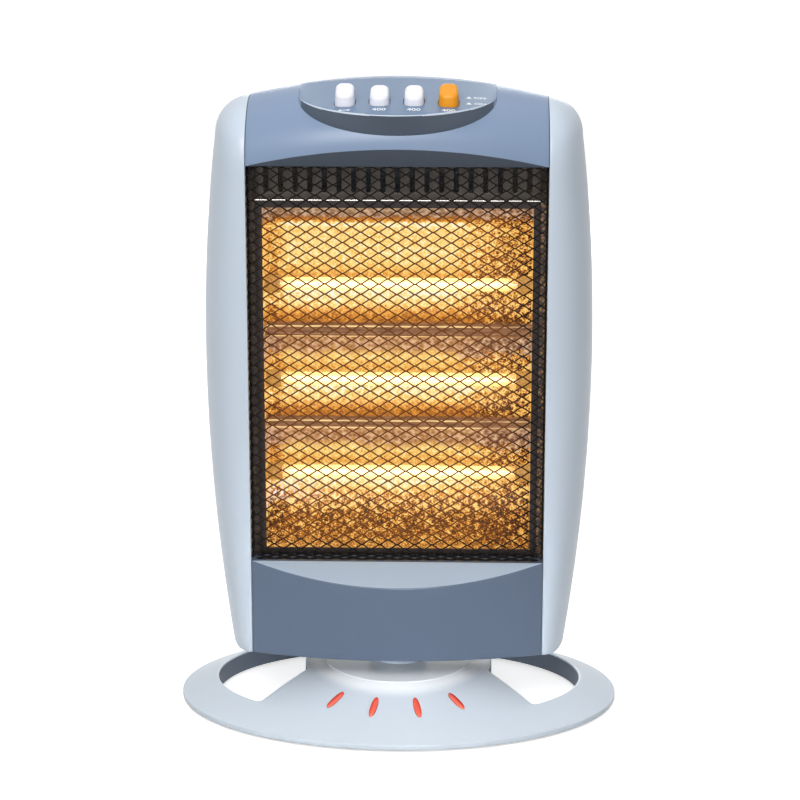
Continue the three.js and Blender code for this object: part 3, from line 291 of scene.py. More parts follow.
def painted_glow_sheet():
    """The lamps' glow on the embossed reflector, painted by height above each lamp."""
    shader = Shader("reflector_metal")
    between = shader.between
    across, height = shader.along("X"), shader.along("Z")
    half = (LAMP_Z[0] - LAMP_Z[1]) / 2 * MM
    first, middle, last = (z * MM for z in LAMP_Z)

    def times(a, b):
        return shader.math("MULTIPLY", a, b)

    def plus(a, b):
        return shader.math("ADD", a, b)

    def flipped(value):
        return shader.math("SUBTRACT", 1, value)

    reach = half * 0.99
    above_last = shader.math("MAXIMUM", height, last - reach)
    inside = shader.math("MINIMUM", above_last, first + reach)
    margin = shader.math("SUBTRACT", height, inside)
    wrapped = shader.math("WRAP", shader.math("SUBTRACT", inside, middle), half, -half)
    rise = plus(wrapped, margin)

    # The embossing shifts where each trace of light is seen, most of all to the right.
    cells = shader.cells(260, shader.stretched(1, 0.4, 1))
    dimple = shader.math("SUBTRACT", cells["Distance"], 0.42)
    fine = shader.math("SUBTRACT", shader.noise(700, 3), 0.5)
    blotch = shader.math("SUBTRACT", shader.noise(45, 3), 0.5)
    right = between(plus(across, times(blotch, 0.05)), 0.048, 0.09)
    left_edge = flipped(between(plus(across, times(blotch, 0.01)), -0.104, -0.094))
    bottom = flipped(between(height, last - 0.034, last - 0.020))
    rough_places = shader.math("MAXIMUM", right, times(bottom, 0.8))
    roughness = plus(0.3, plus(times(rough_places, 0.8), times(left_edge, 0.3)))
    rise = plus(rise, times(times(dimple, 0.018), roughness))

    place = shader.add("ShaderNodeMapRange")
    shader.link(rise, place.inputs["Value"])
    place.inputs["From Min"].default_value = -0.06
    place.inputs["From Max"].default_value = 0.065
    stops = [
        (-60, 0.62), (-56, 0.35), (-50, 0.3), (-44, 0.3), (-38, 0.32), (-33, 0.41),
        (-30, 0.48), (-26, 0.6), (-21, 0.77), (-16, 0.87), (-11, 0.92), (-5, 0.86),
        (2, 0.62), (7, 0.7), (13, 0.79), (22, 0.82), (33, 0.81), (41, 0.8),
        (46, 0.84), (49, 0.95), (51, 0.58), (54, 0.38), (58, 0.3), (64, 0.2),
    ]
    heat = shader.ramp(
        place.outputs[0],
        [((z + 60) / 125, (level, level, level, 1)) for z, level in stops],
        "EASE",
    )
    # Painted shade: above the two lower lamps the ridges leave the sheet dimmer than above the
    # highest one.
    low_lamps = flipped(between(height, first - half, first - half + 0.004))
    uneven = plus(rise, times(blotch, 0.02))
    dusky = shader.math(
        "MAXIMUM",
        times(low_lamps, band(shader, uneven, 17, 60, 6)),
        band(shader, rise, 56.5, 90, 1.5),
    )
    # Painted shade: the glow is dimmed towards the left edge and over the right part of the sheet.
    sides = plus(times(right, 0.42), times(left_edge, 0.26))
    shading = shader.math("SUBTRACT", flipped(times(dusky, 0.3)), sides)
    rings = times(dimple, plus(0.55, times(rough_places, 0.35)))
    texture = times(plus(times(fine, 2.4), rings), roughness)
    level = shader.math("ADD", times(heat, shading), texture, clamp=True)
    level = shader.math("MINIMUM", level, flipped(times(rough_places, 0.22)))
    glow = shader.ramp(level, [
        (0, (0.012, 0.007, 0.006, 1)), (0.22, (0.10, 0.032, 0.010, 1)),
        (0.42, (0.42, 0.13, 0.018, 1)), (0.6, (0.78, 0.32, 0.045, 1)),
        (0.78, (0.94, 0.60, 0.16, 1)), (0.9, (1, 0.82, 0.36, 1)), (1, (1, 0.97, 0.78, 1)),
    ])

    # Painted reflection: seen from the front, the sheet high above the lower lamps also mirrors the
    # pale room, with painted sparkles low on the left.
    pale = shader.ramp(plus(times(dimple, 0.9), 0.5), [
        (0.2, (0.08, 0.035, 0.025, 1)), (0.55, (0.32, 0.19, 0.13, 1)),
        (0.85, (0.72, 0.50, 0.36, 1)),
    ])
    last_mm = last / MM
    low_left = times(
        flipped(between(across, -0.1, -0.035)),
        band(shader, height, last_mm - 30, last_mm - 14, 5),
    )
    sparkle = times(low_left, between(shader.noise(520, 1), 0.54, 0.58))
    veil = shader.math("MAXIMUM", times(dusky, 0.65), times(sparkle, 0.9))
    pale = blend(shader, sparkle, pale, (0.95, 0.86, 0.84, 1))
    glow = blend(shader, veil, glow, pale)

    # Painted shade and highlights: the flat strips between the troughs are dull between two bright
    # lines.
    strip, line = 0, 0
    for high, low, lines in zip(LAMP_Z, LAMP_Z[1:], RIDGE_LINES):
        offset = shader.math("SUBTRACT", height, (high + low) / 2 * MM)
        dull_part = band(shader, offset, lines[1] - 0.6, RIDGE_HALF - 0.4, 0.5)
        strip = shader.math("MAXIMUM", strip, dull_part)
        for z in lines:
            line = shader.math("MAXIMUM", line, band(shader, offset, z - 0.7, z + 0.7, 0.4))
    line = times(line, flipped(times(right, 0.5)))
    streaks = shader.noise(60, 3, shader.stretched(1, 1, 9))
    dull = shader.ramp(shader.math("ADD", streaks, times(line, 0.5), clamp=True), [
        (0.3, (0.10, 0.036, 0.014, 1)), (0.7, (0.32, 0.14, 0.06, 1)), (1, (0.98, 0.66, 0.28, 1)),
    ])
    shader.set(
        Base_Color=(0.05, 0.032, 0.018, 1), Metallic=0.8, Roughness=0.35,
        Emission_Color=blend(shader, strip, glow, dull), Emission_Strength=1.0,
    )
    return shader.material


def flange_metal():
    """The reflector's unlit front flange: dark brown-grey."""
    shader = Shader("reflector_flange")
    shader.set(
        Base_Color=tinted(shader, srgb(46, 39, 37), 0.15, shader.noise(50, 4)),
        Metallic=0.5,
        Roughness=shader.spread(shader.noise(200, 3), 0.3, 0.5),
    )
    shader.bump(shader.noise(600, 2), 0.00003)
    return shader.material


def wing_metal():
    """Pebbled sheet beside the flange, with painted glints of the lamps' light between the returns,
    strongest on the right.
    """
    shader = Shader("reflector_wing")
    pebbles = shader.cells(330)["Distance"]
    glint = shader.ramp(pebbles, [
        (0.1, (0.85, 0.48, 0.16, 1)), (0.42, (0.22, 0.10, 0.05, 1)),
        (0.75, (0.03, 0.02, 0.018, 1)),
    ])
    right = band(shader, shader.along("X"), 0, 200, 10)
    shader.set(
        Base_Color=srgb(52, 48, 44), Metallic=0.4, Roughness=0.5,
        Emission_Color=glint,
        Emission_Strength=shader.spread(right, 0.05, 0.3),
    )
    shader.bump(pebbles, 0.0003)
    return shader.material


def quartz_glass():
    """Clear tube, with the warm light of its coil painted into the glass as a glow."""
    shader = Shader("quartz")
    turns = shader.noise(260, 2, shader.stretched(1, 0.2, 0.2))
    from_middle = shader.math("ABSOLUTE", shader.along("X"))
    along = shader.math("MULTIPLY", from_middle, 1 / (TUBE_X * MM))
    warm = shader.ramp(along, [
        (0.0, (1, 0.72, 0.26, 1)), (0.84, (1, 0.66, 0.2, 1)), (0.97, (0.4, 0.16, 0.03, 1)),
    ])
    shader.set(
        Base_Color=(1, 0.95, 0.85, 1), Roughness=0.06, IOR=1.3, Transmission_Weight=0.9,
        Emission_Color=warm, Emission_Strength=shader.spread(turns, 0.25, 0.5),
    )
    return shader.material


def glowing_wire():
    shader = Shader("filament_wire")
    glow = shader.ramp(shader.noise(120, 2), [(0.3, (1, 0.86, 0.5, 1)), (0.7, (1, 0.95, 0.74, 1))])
    shader.set(
        Base_Color=(0.3, 0.3, 0.3, 1), Roughness=0.5,
        Emission_Color=glow, Emission_Strength=1.35,
    )
    return shader.material


def red_lens():
    """Translucent red, painted lighter along its crown where light comes back out, and darker red
    towards its edges.
    """
    shader = Shader("marker_red")
    facing = shader.add("ShaderNodeLayerWeight")
    facing.inputs["Blend"].default_value = 0.35
    shader.set(
        Base_Color=shader.ramp(facing.outputs["Facing"], [
            (0.12, srgb(240, 112, 86)), (0.3, srgb(228, 70, 50)), (0.5, srgb(170, 26, 24)),
        ]),
        Roughness=shader.spread(shader.noise(300, 2), 0.12, 0.22),
        Subsurface_Weight=0.15,
        Coat_Weight=0.4,
    )
    shader.bsdf.inputs["Subsurface Radius"].default_value = (0.003, 0.0008, 0.0005)
    shader.bump(shader.noise(900, 2), 0.00001)
    return shader.material


def unglazed(name, color):
    shader = Shader(name)
    shader.set(
        Base_Color=tinted(shader, color, 0.05, shader.noise(300, 5)),
        Roughness=shader.spread(shader.noise(500, 4), 0.6, 0.8),
    )
    return shader


def ceramic(name, color):
    shader = unglazed(name, color)
    shader.bump(shader.noise(1600, 4), 0.00005)
    return shader.material


def base_plastic():
    """The base's light grey, palest on the pedestal as painted light under the head."""
    shader = Shader("shell_grey_base")
    squares = [shader.math("POWER", shader.along(axis), 2) for axis in "XY"]
    reach = shader.math("SQRT", shader.math("ADD", *squares))
    drift = shader.noise(9, 3)
    rim, pedestal = (
        tinted(shader, color, 0.02, drift) for color in (srgb(199, 209, 219), srgb(240, 244, 249))
    )
    shader.set(
        Base_Color=blend(shader, band(shader, reach, -20, 74, 6), rim, pedestal),
        Roughness=shader.spread(shader.noise(60, 3), 0.33, 0.39),
    )
    shader.bump(shader.noise(1400, 2), 0.00002)
    return shader.material


def lamplit_ceramic():
    """The lamps' end caps, with the glow of the lamps beside them painted on."""
    shader = unglazed("ceramic_painted_glow", srgb(120, 94, 62))
    shader.set(
        Emission_Color=(0.8, 0.38, 0.07, 1),
        Emission_Strength=shader.spread(shader.noise(600, 3), -0.1, 1.1),
    )
    return shader.material


def mesh_wire():
    """Dark heat-proof mesh, with a painted orange glow where the reflector glows behind it."""
    shader = Shader("mesh_black")
    warm = shader.math(
        "MULTIPLY",
        band(shader, shader.along("X"), -REFLECTOR_X + 6, REFLECTOR_X - 14, 12),
        band(shader, shader.along("Z"), REFLECTOR_BOTTOM + 15, REFLECTOR_TOP - 1, 4),
    )
    shader.bsdf.inputs["Specular IOR Level"].default_value = 0.15
    shader.set(
        Base_Color=tinted(shader, srgb(20, 17, 15), 0.1, shader.noise(300, 2)),
        Roughness=shader.spread(shader.noise(200, 2), 0.6, 0.75),
        Emission_Color=(0.16, 0.045, 0.006, 1), Emission_Strength=shader.math("MULTIPLY", warm, 0.9),
    )
    return shader.material


def print_ink():
    shader = Shader("print_white")
    color = tinted(shader, srgb(235, 240, 246), 0.03, shader.noise(500, 3))
    shader.set(Base_Color=color, Roughness=0.5)
    return shader.material


MATERIALS = {
    "shell_grey": plastic("shell_grey", srgb(200, 212, 225), 0.36),
    "shell_blue": plastic("shell_blue", srgb(130, 150, 179), 0.36),
    "mesh_black": mesh_wire(),
    "reflector_metal": painted_glow_sheet(),
    "zinc_sheet": zinc_plate(),
    "quartz": quartz_glass(),
    "filament_wire": glowing_wire(),
    "ceramic_white": ceramic("ceramic_white", srgb(226, 219, 204)),
    "button_white": plastic("button_white", srgb(240, 240, 248), 0.26, 0.00001, 1400, 0.005),
    "button_orange": plastic("button_orange", srgb(242, 156, 8), 0.4, 0.00001, 1400, 0.02),
    "marker_red": red_lens(),
    "rubber_black": plastic("rubber_black", srgb(34, 34, 35), 0.75, 0.00008, 900, 0.1),
    "steel": metal("steel", srgb(178, 180, 184), 0.3),
    "black_plastic": plastic("black_plastic", srgb(32, 32, 35), 0.5, 0.00006, 900, 0.08),
    "acetal_white": plastic("acetal_white", srgb(236, 236, 231), 0.42, 0.00002, 900, 0.01),
}
# Painted shade: a darker copy of the blue for the lower panel.
PANEL_SHADE_BLUE = plastic("shell_blue_painted_shade", srgb(84, 99, 121), 0.36)
# Painted light: a lighter grey for the lower panel's sill.
SILL_LIT_GREY = plastic("shell_sill_painted_light", srgb(164, 179, 196), 0.34)
BASE_GREY = base_plastic()
# Painted shade: a darker copy of the blue for the control surface.
CONTROL_SHADE_BLUE = plastic("shell_blue_control_painted_shade", srgb(104, 128, 158), 0.38)
SHADE_BLUE = plastic("shell_blue_shade", srgb(75, 88, 104), 0.4)
# Painted highlight along the ledge's lip.
LIP_HIGHLIGHT_BLUE = plastic("shell_blue_lip_painted_highlight", srgb(208, 219, 233), 0.25)
LAMPLIT_CERAMIC = lamplit_ceramic()
# Painted highlight on the vent plate's folded edge.
EDGE_HIGHLIGHT_METAL = metal("sheet_edge_painted_highlight", srgb(214, 210, 204), 0.25)
SHADED_GREY = plastic("shell_grey_inside", srgb(104, 116, 132), 0.5)
INK = print_ink()
FLANGE_METAL = flange_metal()
WING_METAL = wing_metal()

# ------------------------------------------------------------------ mesh helpers


def steps(low, high, count):
    return [low + (high - low) * i / count for i in range(count + 1)]


def lerp(low, high, part):
    return low + (high - low) * part


def clean(bm):
    bmesh.ops.remove_doubles(bm, verts=bm.verts, dist=0.0005)
    bmesh.ops.recalc_face_normals(bm, faces=bm.faces)


def linked(name, bm):
    """A new object in the scene with a mesh made from a bmesh."""
    mesh = bpy.data.meshes.new(name)
    bm.to_mesh(mesh)
    bm.free()
    piece = bpy.data.objects.new(name, mesh)
    scene.collection.objects.link(piece)
    return piece


def finish_piece(name, bm, body, slot, replaces=(), angle=35, materials=None):
    """Turns a millimetre mesh into a piece that rides on a body."""
    clean(bm)
    bmesh.ops.scale(bm, vec=(MM, MM, MM), verts=bm.verts)
    piece = linked(name, bm)
    piece.data.shade_smooth()
    piece.data.set_sharp_from_angle(angle=math.radians(angle))
    for material in materials or [MATERIALS[slot]]:
        piece.data.materials.append(material)
    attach(piece, body)
    if replaces:
        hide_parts(*replaces)


def add_rounding(piece, width, angle):
    bevel = piece.modifiers.new("edges", "BEVEL")
    bevel.width = width * MM
    bevel.segments = 2
    bevel.limit_method = "ANGLE"
    bevel.angle_limit = math.radians(angle)
    bevel.harden_normals = False


def skin(rings, caps=True, bm=None):
    """Quads through rows of points; the rows close on themselves and the ends are capped."""
    bm = bm or bmesh.new()
    rows = [[bm.verts.new(point) for point in ring] for ring in rings]
    count = len(rows[0])
    for low, high in zip(rows, rows[1:]):
        for i in range(count):
            j = (i + 1) % count
            bm.faces.new((low[i], low[j], high[j], high[i]))
    if caps:
        bm.faces.new(rows[0])
        bm.faces.new(rows[-1])
    return bm


def cuboid(low, high):
    corners = [(low[0], low[1]), (high[0], low[1]), (high[0], high[1]), (low[0], high[1])]
    return skin([[(x, y, z) for x, y in corners] for z in (low[2], high[2])])


def lathe(profile, segments, place=lambda x, y, height: (x, y, height)):
    """Turns a closed profile of (radius, height) pairs; place maps (x, y, height)."""
    bm = bmesh.new()
    columns = []
    for k in range(segments):
        angle = 2 * math.pi * k / segments
        columns.append([
            bm.verts.new(place(radius * math.cos(angle), radius * math.sin(angle), height))
            for radius, height in profile
        ])
    count = len(profile)
    for k in range(segments):
        here, after = columns[k], columns[(k + 1) % segments]
        for i in range(count):
            j = (i + 1) % count
            bm.faces.new((here[i], after[i], after[j], here[j]))
    return bm


def as_object(bm):
    clean(bm)
    return linked("work", bm)


def evaluated(piece, *others):
    """The mesh with its modifiers applied, as a bmesh; the working objects are removed."""
    bpy.context.view_layer.update()
    result = piece.evaluated_get(bpy.context.evaluated_depsgraph_get())
    bm = bmesh.new()
    bm.from_mesh(result.data)
    for used in (piece, *others):
        mesh = used.data
        bpy.data.objects.remove(used)
        bpy.data.meshes.remove(mesh)
    return bm


def cut(base, tools):
    piece = as_object(base)
    others = [as_object(tool) for tool in tools]
    for other in others:
        modifier = piece.modifiers.new("cut", "BOOLEAN")
        modifier.operation = "DIFFERENCE"
        modifier.solver = "EXACT"
        modifier.object = other
    return evaluated(piece, *others)


def fillet(before, corner, after, radius, count=4):
    """Points of a round corner between two straight stretches, in the plane."""
    a, b, c = Vector(before), Vector(corner), Vector(after)
    to_a, to_c = (a - b), (c - b)
    reach_a, reach_c = to_a.length, to_c.length
    if min(reach_a, reach_c) < 1e-6:
        return [tuple(b)]
    to_a.normalize()
    to_c.normalize()
    half = to_a.angle(to_c) / 2
    if half > 1.55 or half < 0.02:
        return [tuple(b)]
    cut = min(radius / math.tan(half), reach_a * 0.45, reach_c * 0.45)
    start, end = b + to_a * cut, b + to_c * cut
    points = []
    for part in steps(0, 1, count):
        points.append(tuple(start.lerp(b, part).lerp(b.lerp(end, part), part)))
    return points


def rounded_rectangle(width, depth, radius, count=6):
    points = []
    for turn, (x, y) in enumerate([(1, 1), (-1, 1), (-1, -1), (1, -1)]):
        for angle in steps(turn * math.pi / 2, (turn + 1) * math.pi / 2, count):
            points.append((
                x * (width / 2 - radius) + radius * math.cos(angle),
                y * (depth / 2 - radius) + radius * math.sin(angle),
            ))
    return points


def drawn(curve):
    """The mesh of a curve, as a bmesh; the curve is removed."""
    piece = bpy.data.objects.new("work", curve)
    scene.collection.objects.link(piece)
    bpy.context.view_layer.update()
    result = piece.evaluated_get(bpy.context.evaluated_depsgraph_get())
    mesh = bpy.data.meshes.new_from_object(result)
    bm = bmesh.new()
    bm.from_mesh(mesh)
    bpy.data.objects.remove(piece)
    bpy.data.curves.remove(curve)
    bpy.data.meshes.remove(mesh)
    return bm


def plate(outline, holes, thickness, edge=0.0):
    """A flat sheet with holes in the plane z = 0, centred on it, with slightly rounded edges."""
    curve = bpy.data.curves.new("work", "CURVE")
    curve.dimensions = "2D"
    curve.fill_mode = "BOTH"
    curve.extrude = thickness / 2 - edge
    curve.bevel_depth = edge
    curve.bevel_resolution = 1
    for loop in [outline, *holes]:
        spline = curve.splines.new("POLY")
        spline.points.add(len(loop) - 1)
        spline.use_cyclic_u = True
        for point, (x, y) in zip(spline.points, loop):
            point.co = (x, y, 0, 1)
    bm = drawn(curve)
    bmesh.ops.remove_doubles(bm, verts=bm.verts, dist=0.001)
    return bm


def circle(x, y, radius, count=32):
    angles = steps(0, 2 * math.pi, count)[:-1]
    return [(x + radius * math.cos(a), y + radius * math.sin(a)) for a in angles]


# ------------------------------------------------------------------ outline of the head


def bow(z):
    rise = z - WIDEST_Z
    radius = LOWER_BOW if rise < 0 else UPPER_BOW
    return WIDEST_X - radius + math.sqrt(radius * radius - rise * rise)


SHOULDER_Z = CORNER_Z - SHOULDER
SHOULDER_X = bow(SHOULDER_Z) - SHOULDER
ARCH_RISE = HEAD_TOP - CORNER_Z
ARCH_RADIUS = (WINDOW_X**2 + ARCH_RISE**2) / (2 * ARCH_RISE)


def arch_z(x):
    return HEAD_TOP - ARCH_RADIUS + math.sqrt(ARCH_RADIUS**2 - x * x)


def back_drop(y, z):
    """How far the outline sinks at a height, between the crest and the split."""
    back = min(1, max(0, (y - CREST_Y) / (SPLIT_Y - CREST_Y)))
    up = min(1, max(0, (z - SHOULDER_Z) / SHOULDER))
    return BACK_FALL * back * up


def crown(x):
    return max(0, 1 - (x / WINDOW_X) ** 2)


def side_front_y(z):
    rise = max(0, z - WINDOW_TOP) / (CORNER_Z - WINDOW_TOP)
    return CREST_Y - (CREST_Y - FRONT_Y) * math.sqrt(max(0, 1 - rise * rise))


def side_stations():
    end = math.acos((WINDOW_X + 1 - SHOULDER_X) / SHOULDER)
    low = [(HEAD_BOTTOM, 1.0), (HEAD_BOTTOM + 0.3, 0.35), (HEAD_BOTTOM + 1, 0)]
    stations = [(z, bow(z), inset) for z, inset in low]
    stations += [(z, bow(z), 0) for z in steps(HEAD_BOTTOM + 8, SHOULDER_Z, 44)]
    for angle in steps(0, end, 22)[1:]:
        stations.append((
            SHOULDER_Z + SHOULDER * math.sin(angle), SHOULDER_X + SHOULDER * math.cos(angle), 0,
        ))
    return stations


def make_side_cover(side):
    rings = []
    for z, half_x, inset in side_stations():
        reach_x = max(0.4, half_x - WINDOW_X - inset)
        reach_y = max(0.4, SPLIT_Y - side_front_y(z) - inset)
        curve = [
            (WINDOW_X + reach_x * math.sin(a) ** 0.9, SPLIT_Y - reach_y * math.cos(a) ** 0.9)
            for a in steps(0, math.pi / 2 * 0.9999, 40)
        ]
        inner = (WINDOW_X, SPLIT_Y)
        corner = fillet(inner, curve[0], curve[2], SEAM_ROUND, 3)
        rings.append([(side * x, y, z - back_drop(y, z)) for x, y in corner + curve[2:] + [inner]])
    name = "side_cover_right" if side > 0 else "side_cover_left"
    return finish_piece("shell_" + name, skin(rings), "head", "shell_grey", [name], angle=40)


# ------------------------------------------------------------------ top cover


def ledge_spread(x):
    return math.sqrt(max(0, 1 - (x / LEDGE_X) ** 2))


def top_section(x, margin):
    outside = 1 if margin > 0 else 0
    top = arch_z(x) - margin
    face_z = WINDOW_TOP + BEVEL_HEIGHT * crown(x)
    face_y = FRONT_Y - TOP_BULGE * crown(x) + margin

    def on_face(angle):
        return (
            CREST_Y - (CREST_Y - face_y) * math.cos(angle),
            face_z + (top - face_z) * math.sin(angle),
        )

    spread = ledge_spread(x)
    in_ledge = abs(x) <= LEDGE_X
    seam = 0.02
    below_tip = LEDGE_TIP - seam
    fall = (LEDGE_TIP - LEDGE_ROOT) * spread
    root = min(below_tip, below_tip - fall + 0.9 * margin / (top - face_z))
    tip = on_face(LEDGE_TIP + seam)
    lip = tip
    if in_ledge:
        lip_y = min(tip[0], tip[0] - LEDGE_REACH * spread + 2 * margin)
        slope_z = top - (CREST_Y - lip_y) * LEDGE_SLOPE
        lip = (lip_y, lerp(tip[1], slope_z, math.sqrt(spread)))
    control = []
    for part in steps(0, 1, 14)[1:-1]:
        flat = (lerp(CREST_Y, lip[0], part), lerp(top, lip[1], part))
        rounded = on_face(math.pi / 2 + (LEDGE_TIP + seam - math.pi / 2) * part)
        blend = 0 if not in_ledge else min(1, spread * 2.2) ** 0.5
        control.append((lerp(rounded[0], flat[0], blend), lerp(rounded[1], flat[1], blend)))
    face = [on_face(a) for a in steps(root, 0, 24)]
    if margin == 0:
        lip_points = fillet(control[-1], lip, face[0], LEDGE_LIP * min(1, 0.15 + spread), 6)
        lip_points = lip_points if len(lip_points) == 7 else [lip] * 7
        brow = fillet(face[-2], face[-1], (FRONT_Y, WINDOW_TOP), 1.2, 4)
        brow = brow if len(brow) == 5 else [face[-1]] * 5
    else:
        lip_points, brow = [lip] * 7, [face[-1]] * 5
    under = WINDOW_TOP - outside
    return [
        (SPLIT_Y + outside, under),
        (SPLIT_Y + outside, top - BACK_FALL),
        (CREST_Y + 4, top - BACK_FALL * 0.45),
        (CREST_Y, top),
        *control,
        *lip_points,
        *face[1:-1],
        *brow,
        (FRONT_Y + 1.2 * margin, under),
    ]


def inset_ring(points, distance):
    """Moves an outline's sides inwards, whichever way round it runs."""
    count = len(points)
    area = sum(
        points[i - 1][0] * points[i][1] - points[i][0] * points[i - 1][1] for i in range(count)
    )
    sign = 1 if area > 0 else -1
    moved = []
    for i, (x, y) in enumerate(points):
        before, after = Vector(points[i - 1]), Vector(points[(i + 1) % count])
        here = Vector((x, y))
        first, second = here - before, after - here
        if first.length < 1e-6 or second.length < 1e-6:
            first = second = after - before
        first.normalize()
        second.normalize()
        normal = Vector((-first.y - second.y, first.x + second.x))
        normal = normal.normalized() if normal.length > 1e-6 else Vector((-first.y, first.x))
        moved.append(tuple(here + normal * sign * distance))
    return moved


def panel_skin(section, stations):
    """A panel's outer block; its seams at the two ends are rounded."""
    ends = [(PANEL_X - SEAM_ROUND * 0.3, 0.3 * SEAM_ROUND), (PANEL_X, SEAM_ROUND)]
    rings = []
    for x, inset in [(-x, d) for x, d in reversed(ends)] + [(x, 0) for x in stations] + ends:
        points = section(x, 0)
        if inset:
            points = inset_ring(points, inset)
        rings.append([(x, y, z) for y, z in points])
    return skin(rings)


def panel_hollow(section, stations):
    return skin([[(x, y, z) for y, z in section(x, WALL)] for x in stations])


def ledge_stations(ledge_count, end, side_count):
    """Places along X, closer together where the ledge ends."""
    ledge = steps(-LEDGE_X, LEDGE_X, ledge_count)
    ledge = [LEDGE_X * math.sin(x / LEDGE_X * math.pi / 2) for x in ledge]
    side = steps(LEDGE_X, end, side_count)[1:]
    return [-x for x in reversed(side)] + ledge + side


def make_top_cover():
    outline = rounded_rectangle(BUTTON_WIDTH + 0.9, BUTTON_DEPTH + 0.9, BUTTON_CORNER)
    wells = [
        skin([[on_control(x, px, py, h) for px, py in outline] for h in (-12, 20)])
        for x in BUTTON_X
    ]
    cover = cut(
        panel_skin(top_section, ledge_stations(72, PANEL_X - SEAM_ROUND, 16)),
        [panel_hollow(top_section, ledge_stations(24, PANEL_X - WALL, 6)), *wells],
    )
    for face in cover.faces:
        middle = face.calc_center_median()
        x, y, z = middle
        lip = Vector(ledge_lip(x))
        face_z = WINDOW_TOP + BEVEL_HEIGHT * crown(x)
        reach = (CREST_Y - y) / (CREST_Y - FRONT_Y + TOP_BULGE * crown(x))
        radius = reach**2 + (max(0, z - face_z) / (arch_z(x) - face_z)) ** 2
        at_ledge = abs(x) < LEDGE_X
        over_ledge = at_ledge and lip[0] < y < CREST_Y + 4.1 and z > lip[1] - 1
        below_lip = at_ledge and radius > 1.004 and face.normal.z < 0.2
        in_bevel = z < face_z - 0.2 and face.normal.z < -0.1 and face.normal.y < -0.1
        # Painted light and shade: a pale highlight on the ledge's lip, a darker blue on the control
        # surface, and painted shade on the bevel, below the lip, under the ledge and inside the
        # cover.
        if abs(x) < LEDGE_X * 0.995 and (lip - middle.yz).length < LEDGE_LIP * 0.95:
            face.material_index = 2
        elif over_ledge:
            face.material_index = 3 if face.normal.z > 0.5 else 1
        elif in_bevel or below_lip or radius < 0.985:
            face.material_index = 1
    finish_piece(
        "shell_top_cover", cover, "head", "shell_blue", ["top_cover"], angle=32,
        materials=[MATERIALS["shell_blue"], SHADE_BLUE, LIP_HIGHLIGHT_BLUE, CONTROL_SHADE_BLUE],
    )


CONTROL_TILT = math.atan(LEDGE_SLOPE)


def on_control(x, across, along, height):
    """A point on the sloping control surface beside a button's middle at x."""
    start = (BUTTON_Y - CREST_Y) / math.cos(CONTROL_TILT) + along
    return (
        x + across,
        CREST_Y + start * math.cos(CONTROL_TILT) - height * math.sin(CONTROL_TILT),
        arch_z(x) + start * math.sin(CONTROL_TILT) + height * math.cos(CONTROL_TILT),
    )


def ledge_lip(x):
    """The y and z of the control surface's front edge."""
    top, spread = arch_z(x), ledge_spread(x)
    face_z = WINDOW_TOP + BEVEL_HEIGHT * crown(x)
    face_y = FRONT_Y - TOP_BULGE * crown(x)
    tip_y = CREST_Y - (CREST_Y - face_y) * math.cos(LEDGE_TIP + 0.02)
    tip_z = face_z + (top - face_z) * math.sin(LEDGE_TIP + 0.02)
    lip_y = min(tip_y, tip_y - LEDGE_REACH * spread)
    return lip_y, lerp(tip_z, top - (CREST_Y - lip_y) * LEDGE_SLOPE, math.sqrt(spread))


def control_point(x, y, height):
    """A point above the control surface at a place in plan."""
    lip_y, lip_z = ledge_lip(x)
    return (x, y, lerp(arch_z(x), lip_z, (CREST_Y - y) / (CREST_Y - lip_y)) + height)


# ------------------------------------------------------------------ lower front panel


def lower_section(x, margin):
    bulge = max(0.02, crown(x))
    outside = 1 if margin > 0 else 0
    sill_z = WINDOW_BOTTOM - SILL_DROP * bulge
    bottom_y = FRONT_Y - FOOT_REACH * bulge + margin
    back = (SPLIT_Y + outside, WINDOW_BOTTOM - margin)
    sill_back = (FRONT_Y + margin, WINDOW_BOTTOM - margin)
    edge = (FRONT_Y - (SILL_REACH + 0.6) * bulge + margin, sill_z - 0.8 * bulge - margin)
    middle = (
        FRONT_Y - ((SILL_REACH + FOOT_REACH) / 2 + 1) * bulge + margin,
        (sill_z + HEAD_BOTTOM) / 2,
    )
    bottom = (bottom_y, HEAD_BOTTOM + margin)
    face = []
    for part in steps(0, 1, 16):
        start = Vector(edge).lerp(Vector(middle), part)
        end = Vector(middle).lerp(Vector(bottom), part)
        bulged = start.lerp(end, part)
        face.append((bulged.x, bulged.y))

    def rounded(before, corner, after, radius, count):
        if margin:
            return [corner] * (count + 1)
        return fillet(before, corner, after, radius, count)

    return [
        (SPLIT_Y + outside, HEAD_BOTTOM + margin),
        back,
        *rounded(back, sill_back, edge, 1.0, 3),
        *rounded(sill_back, edge, face[3], 1.6, 5),
        *face[2:-2],
        *rounded(face[-3], bottom, (SPLIT_Y, HEAD_BOTTOM), 1.5, 3),
    ]


def make_lower_panel():
    end_x, inner_x = PANEL_X - SEAM_ROUND, PANEL_X - WALL
    chassis = mm_box("chassis_floor")[0].z
    rear_mouth = cuboid(
        (-inner_x, FLANGE_Y - CLEARANCE, chassis - CLEARANCE),
        (inner_x, SPLIT_Y + 1, WINDOW_BOTTOM + 1),
    )
    bottom_mouth = cuboid(
        (-inner_x + 6, FRONT_Y + 8, HEAD_BOTTOM - 1), (inner_x - 6, SPLIT_Y + 1, chassis),
    )
    hollow = panel_hollow(lower_section, steps(-inner_x, inner_x, 24))
    panel = cut(
        panel_skin(lower_section, steps(-end_x, end_x, 72)), [hollow, rear_mouth, bottom_mouth],
    )
    sill_low = WINDOW_BOTTOM - SILL_DROP - 3
    # Painted shade and light: the panel takes a darker blue, and its sill's upward faces a lighter
    # grey.
    for face in panel.faces:
        middle = face.calc_center_median()
        if face.normal.z > 0.75 and middle.y < FRONT_Y and middle.z > sill_low:
            face.material_index = 1
    finish_piece(
        "shell_lower_front_panel", panel, "head", "shell_blue", ["lower_front_panel"], angle=32,
        materials=[PANEL_SHADE_BLUE, SILL_LIT_GREY],
    )


# ------------------------------------------------------------------ rear cover


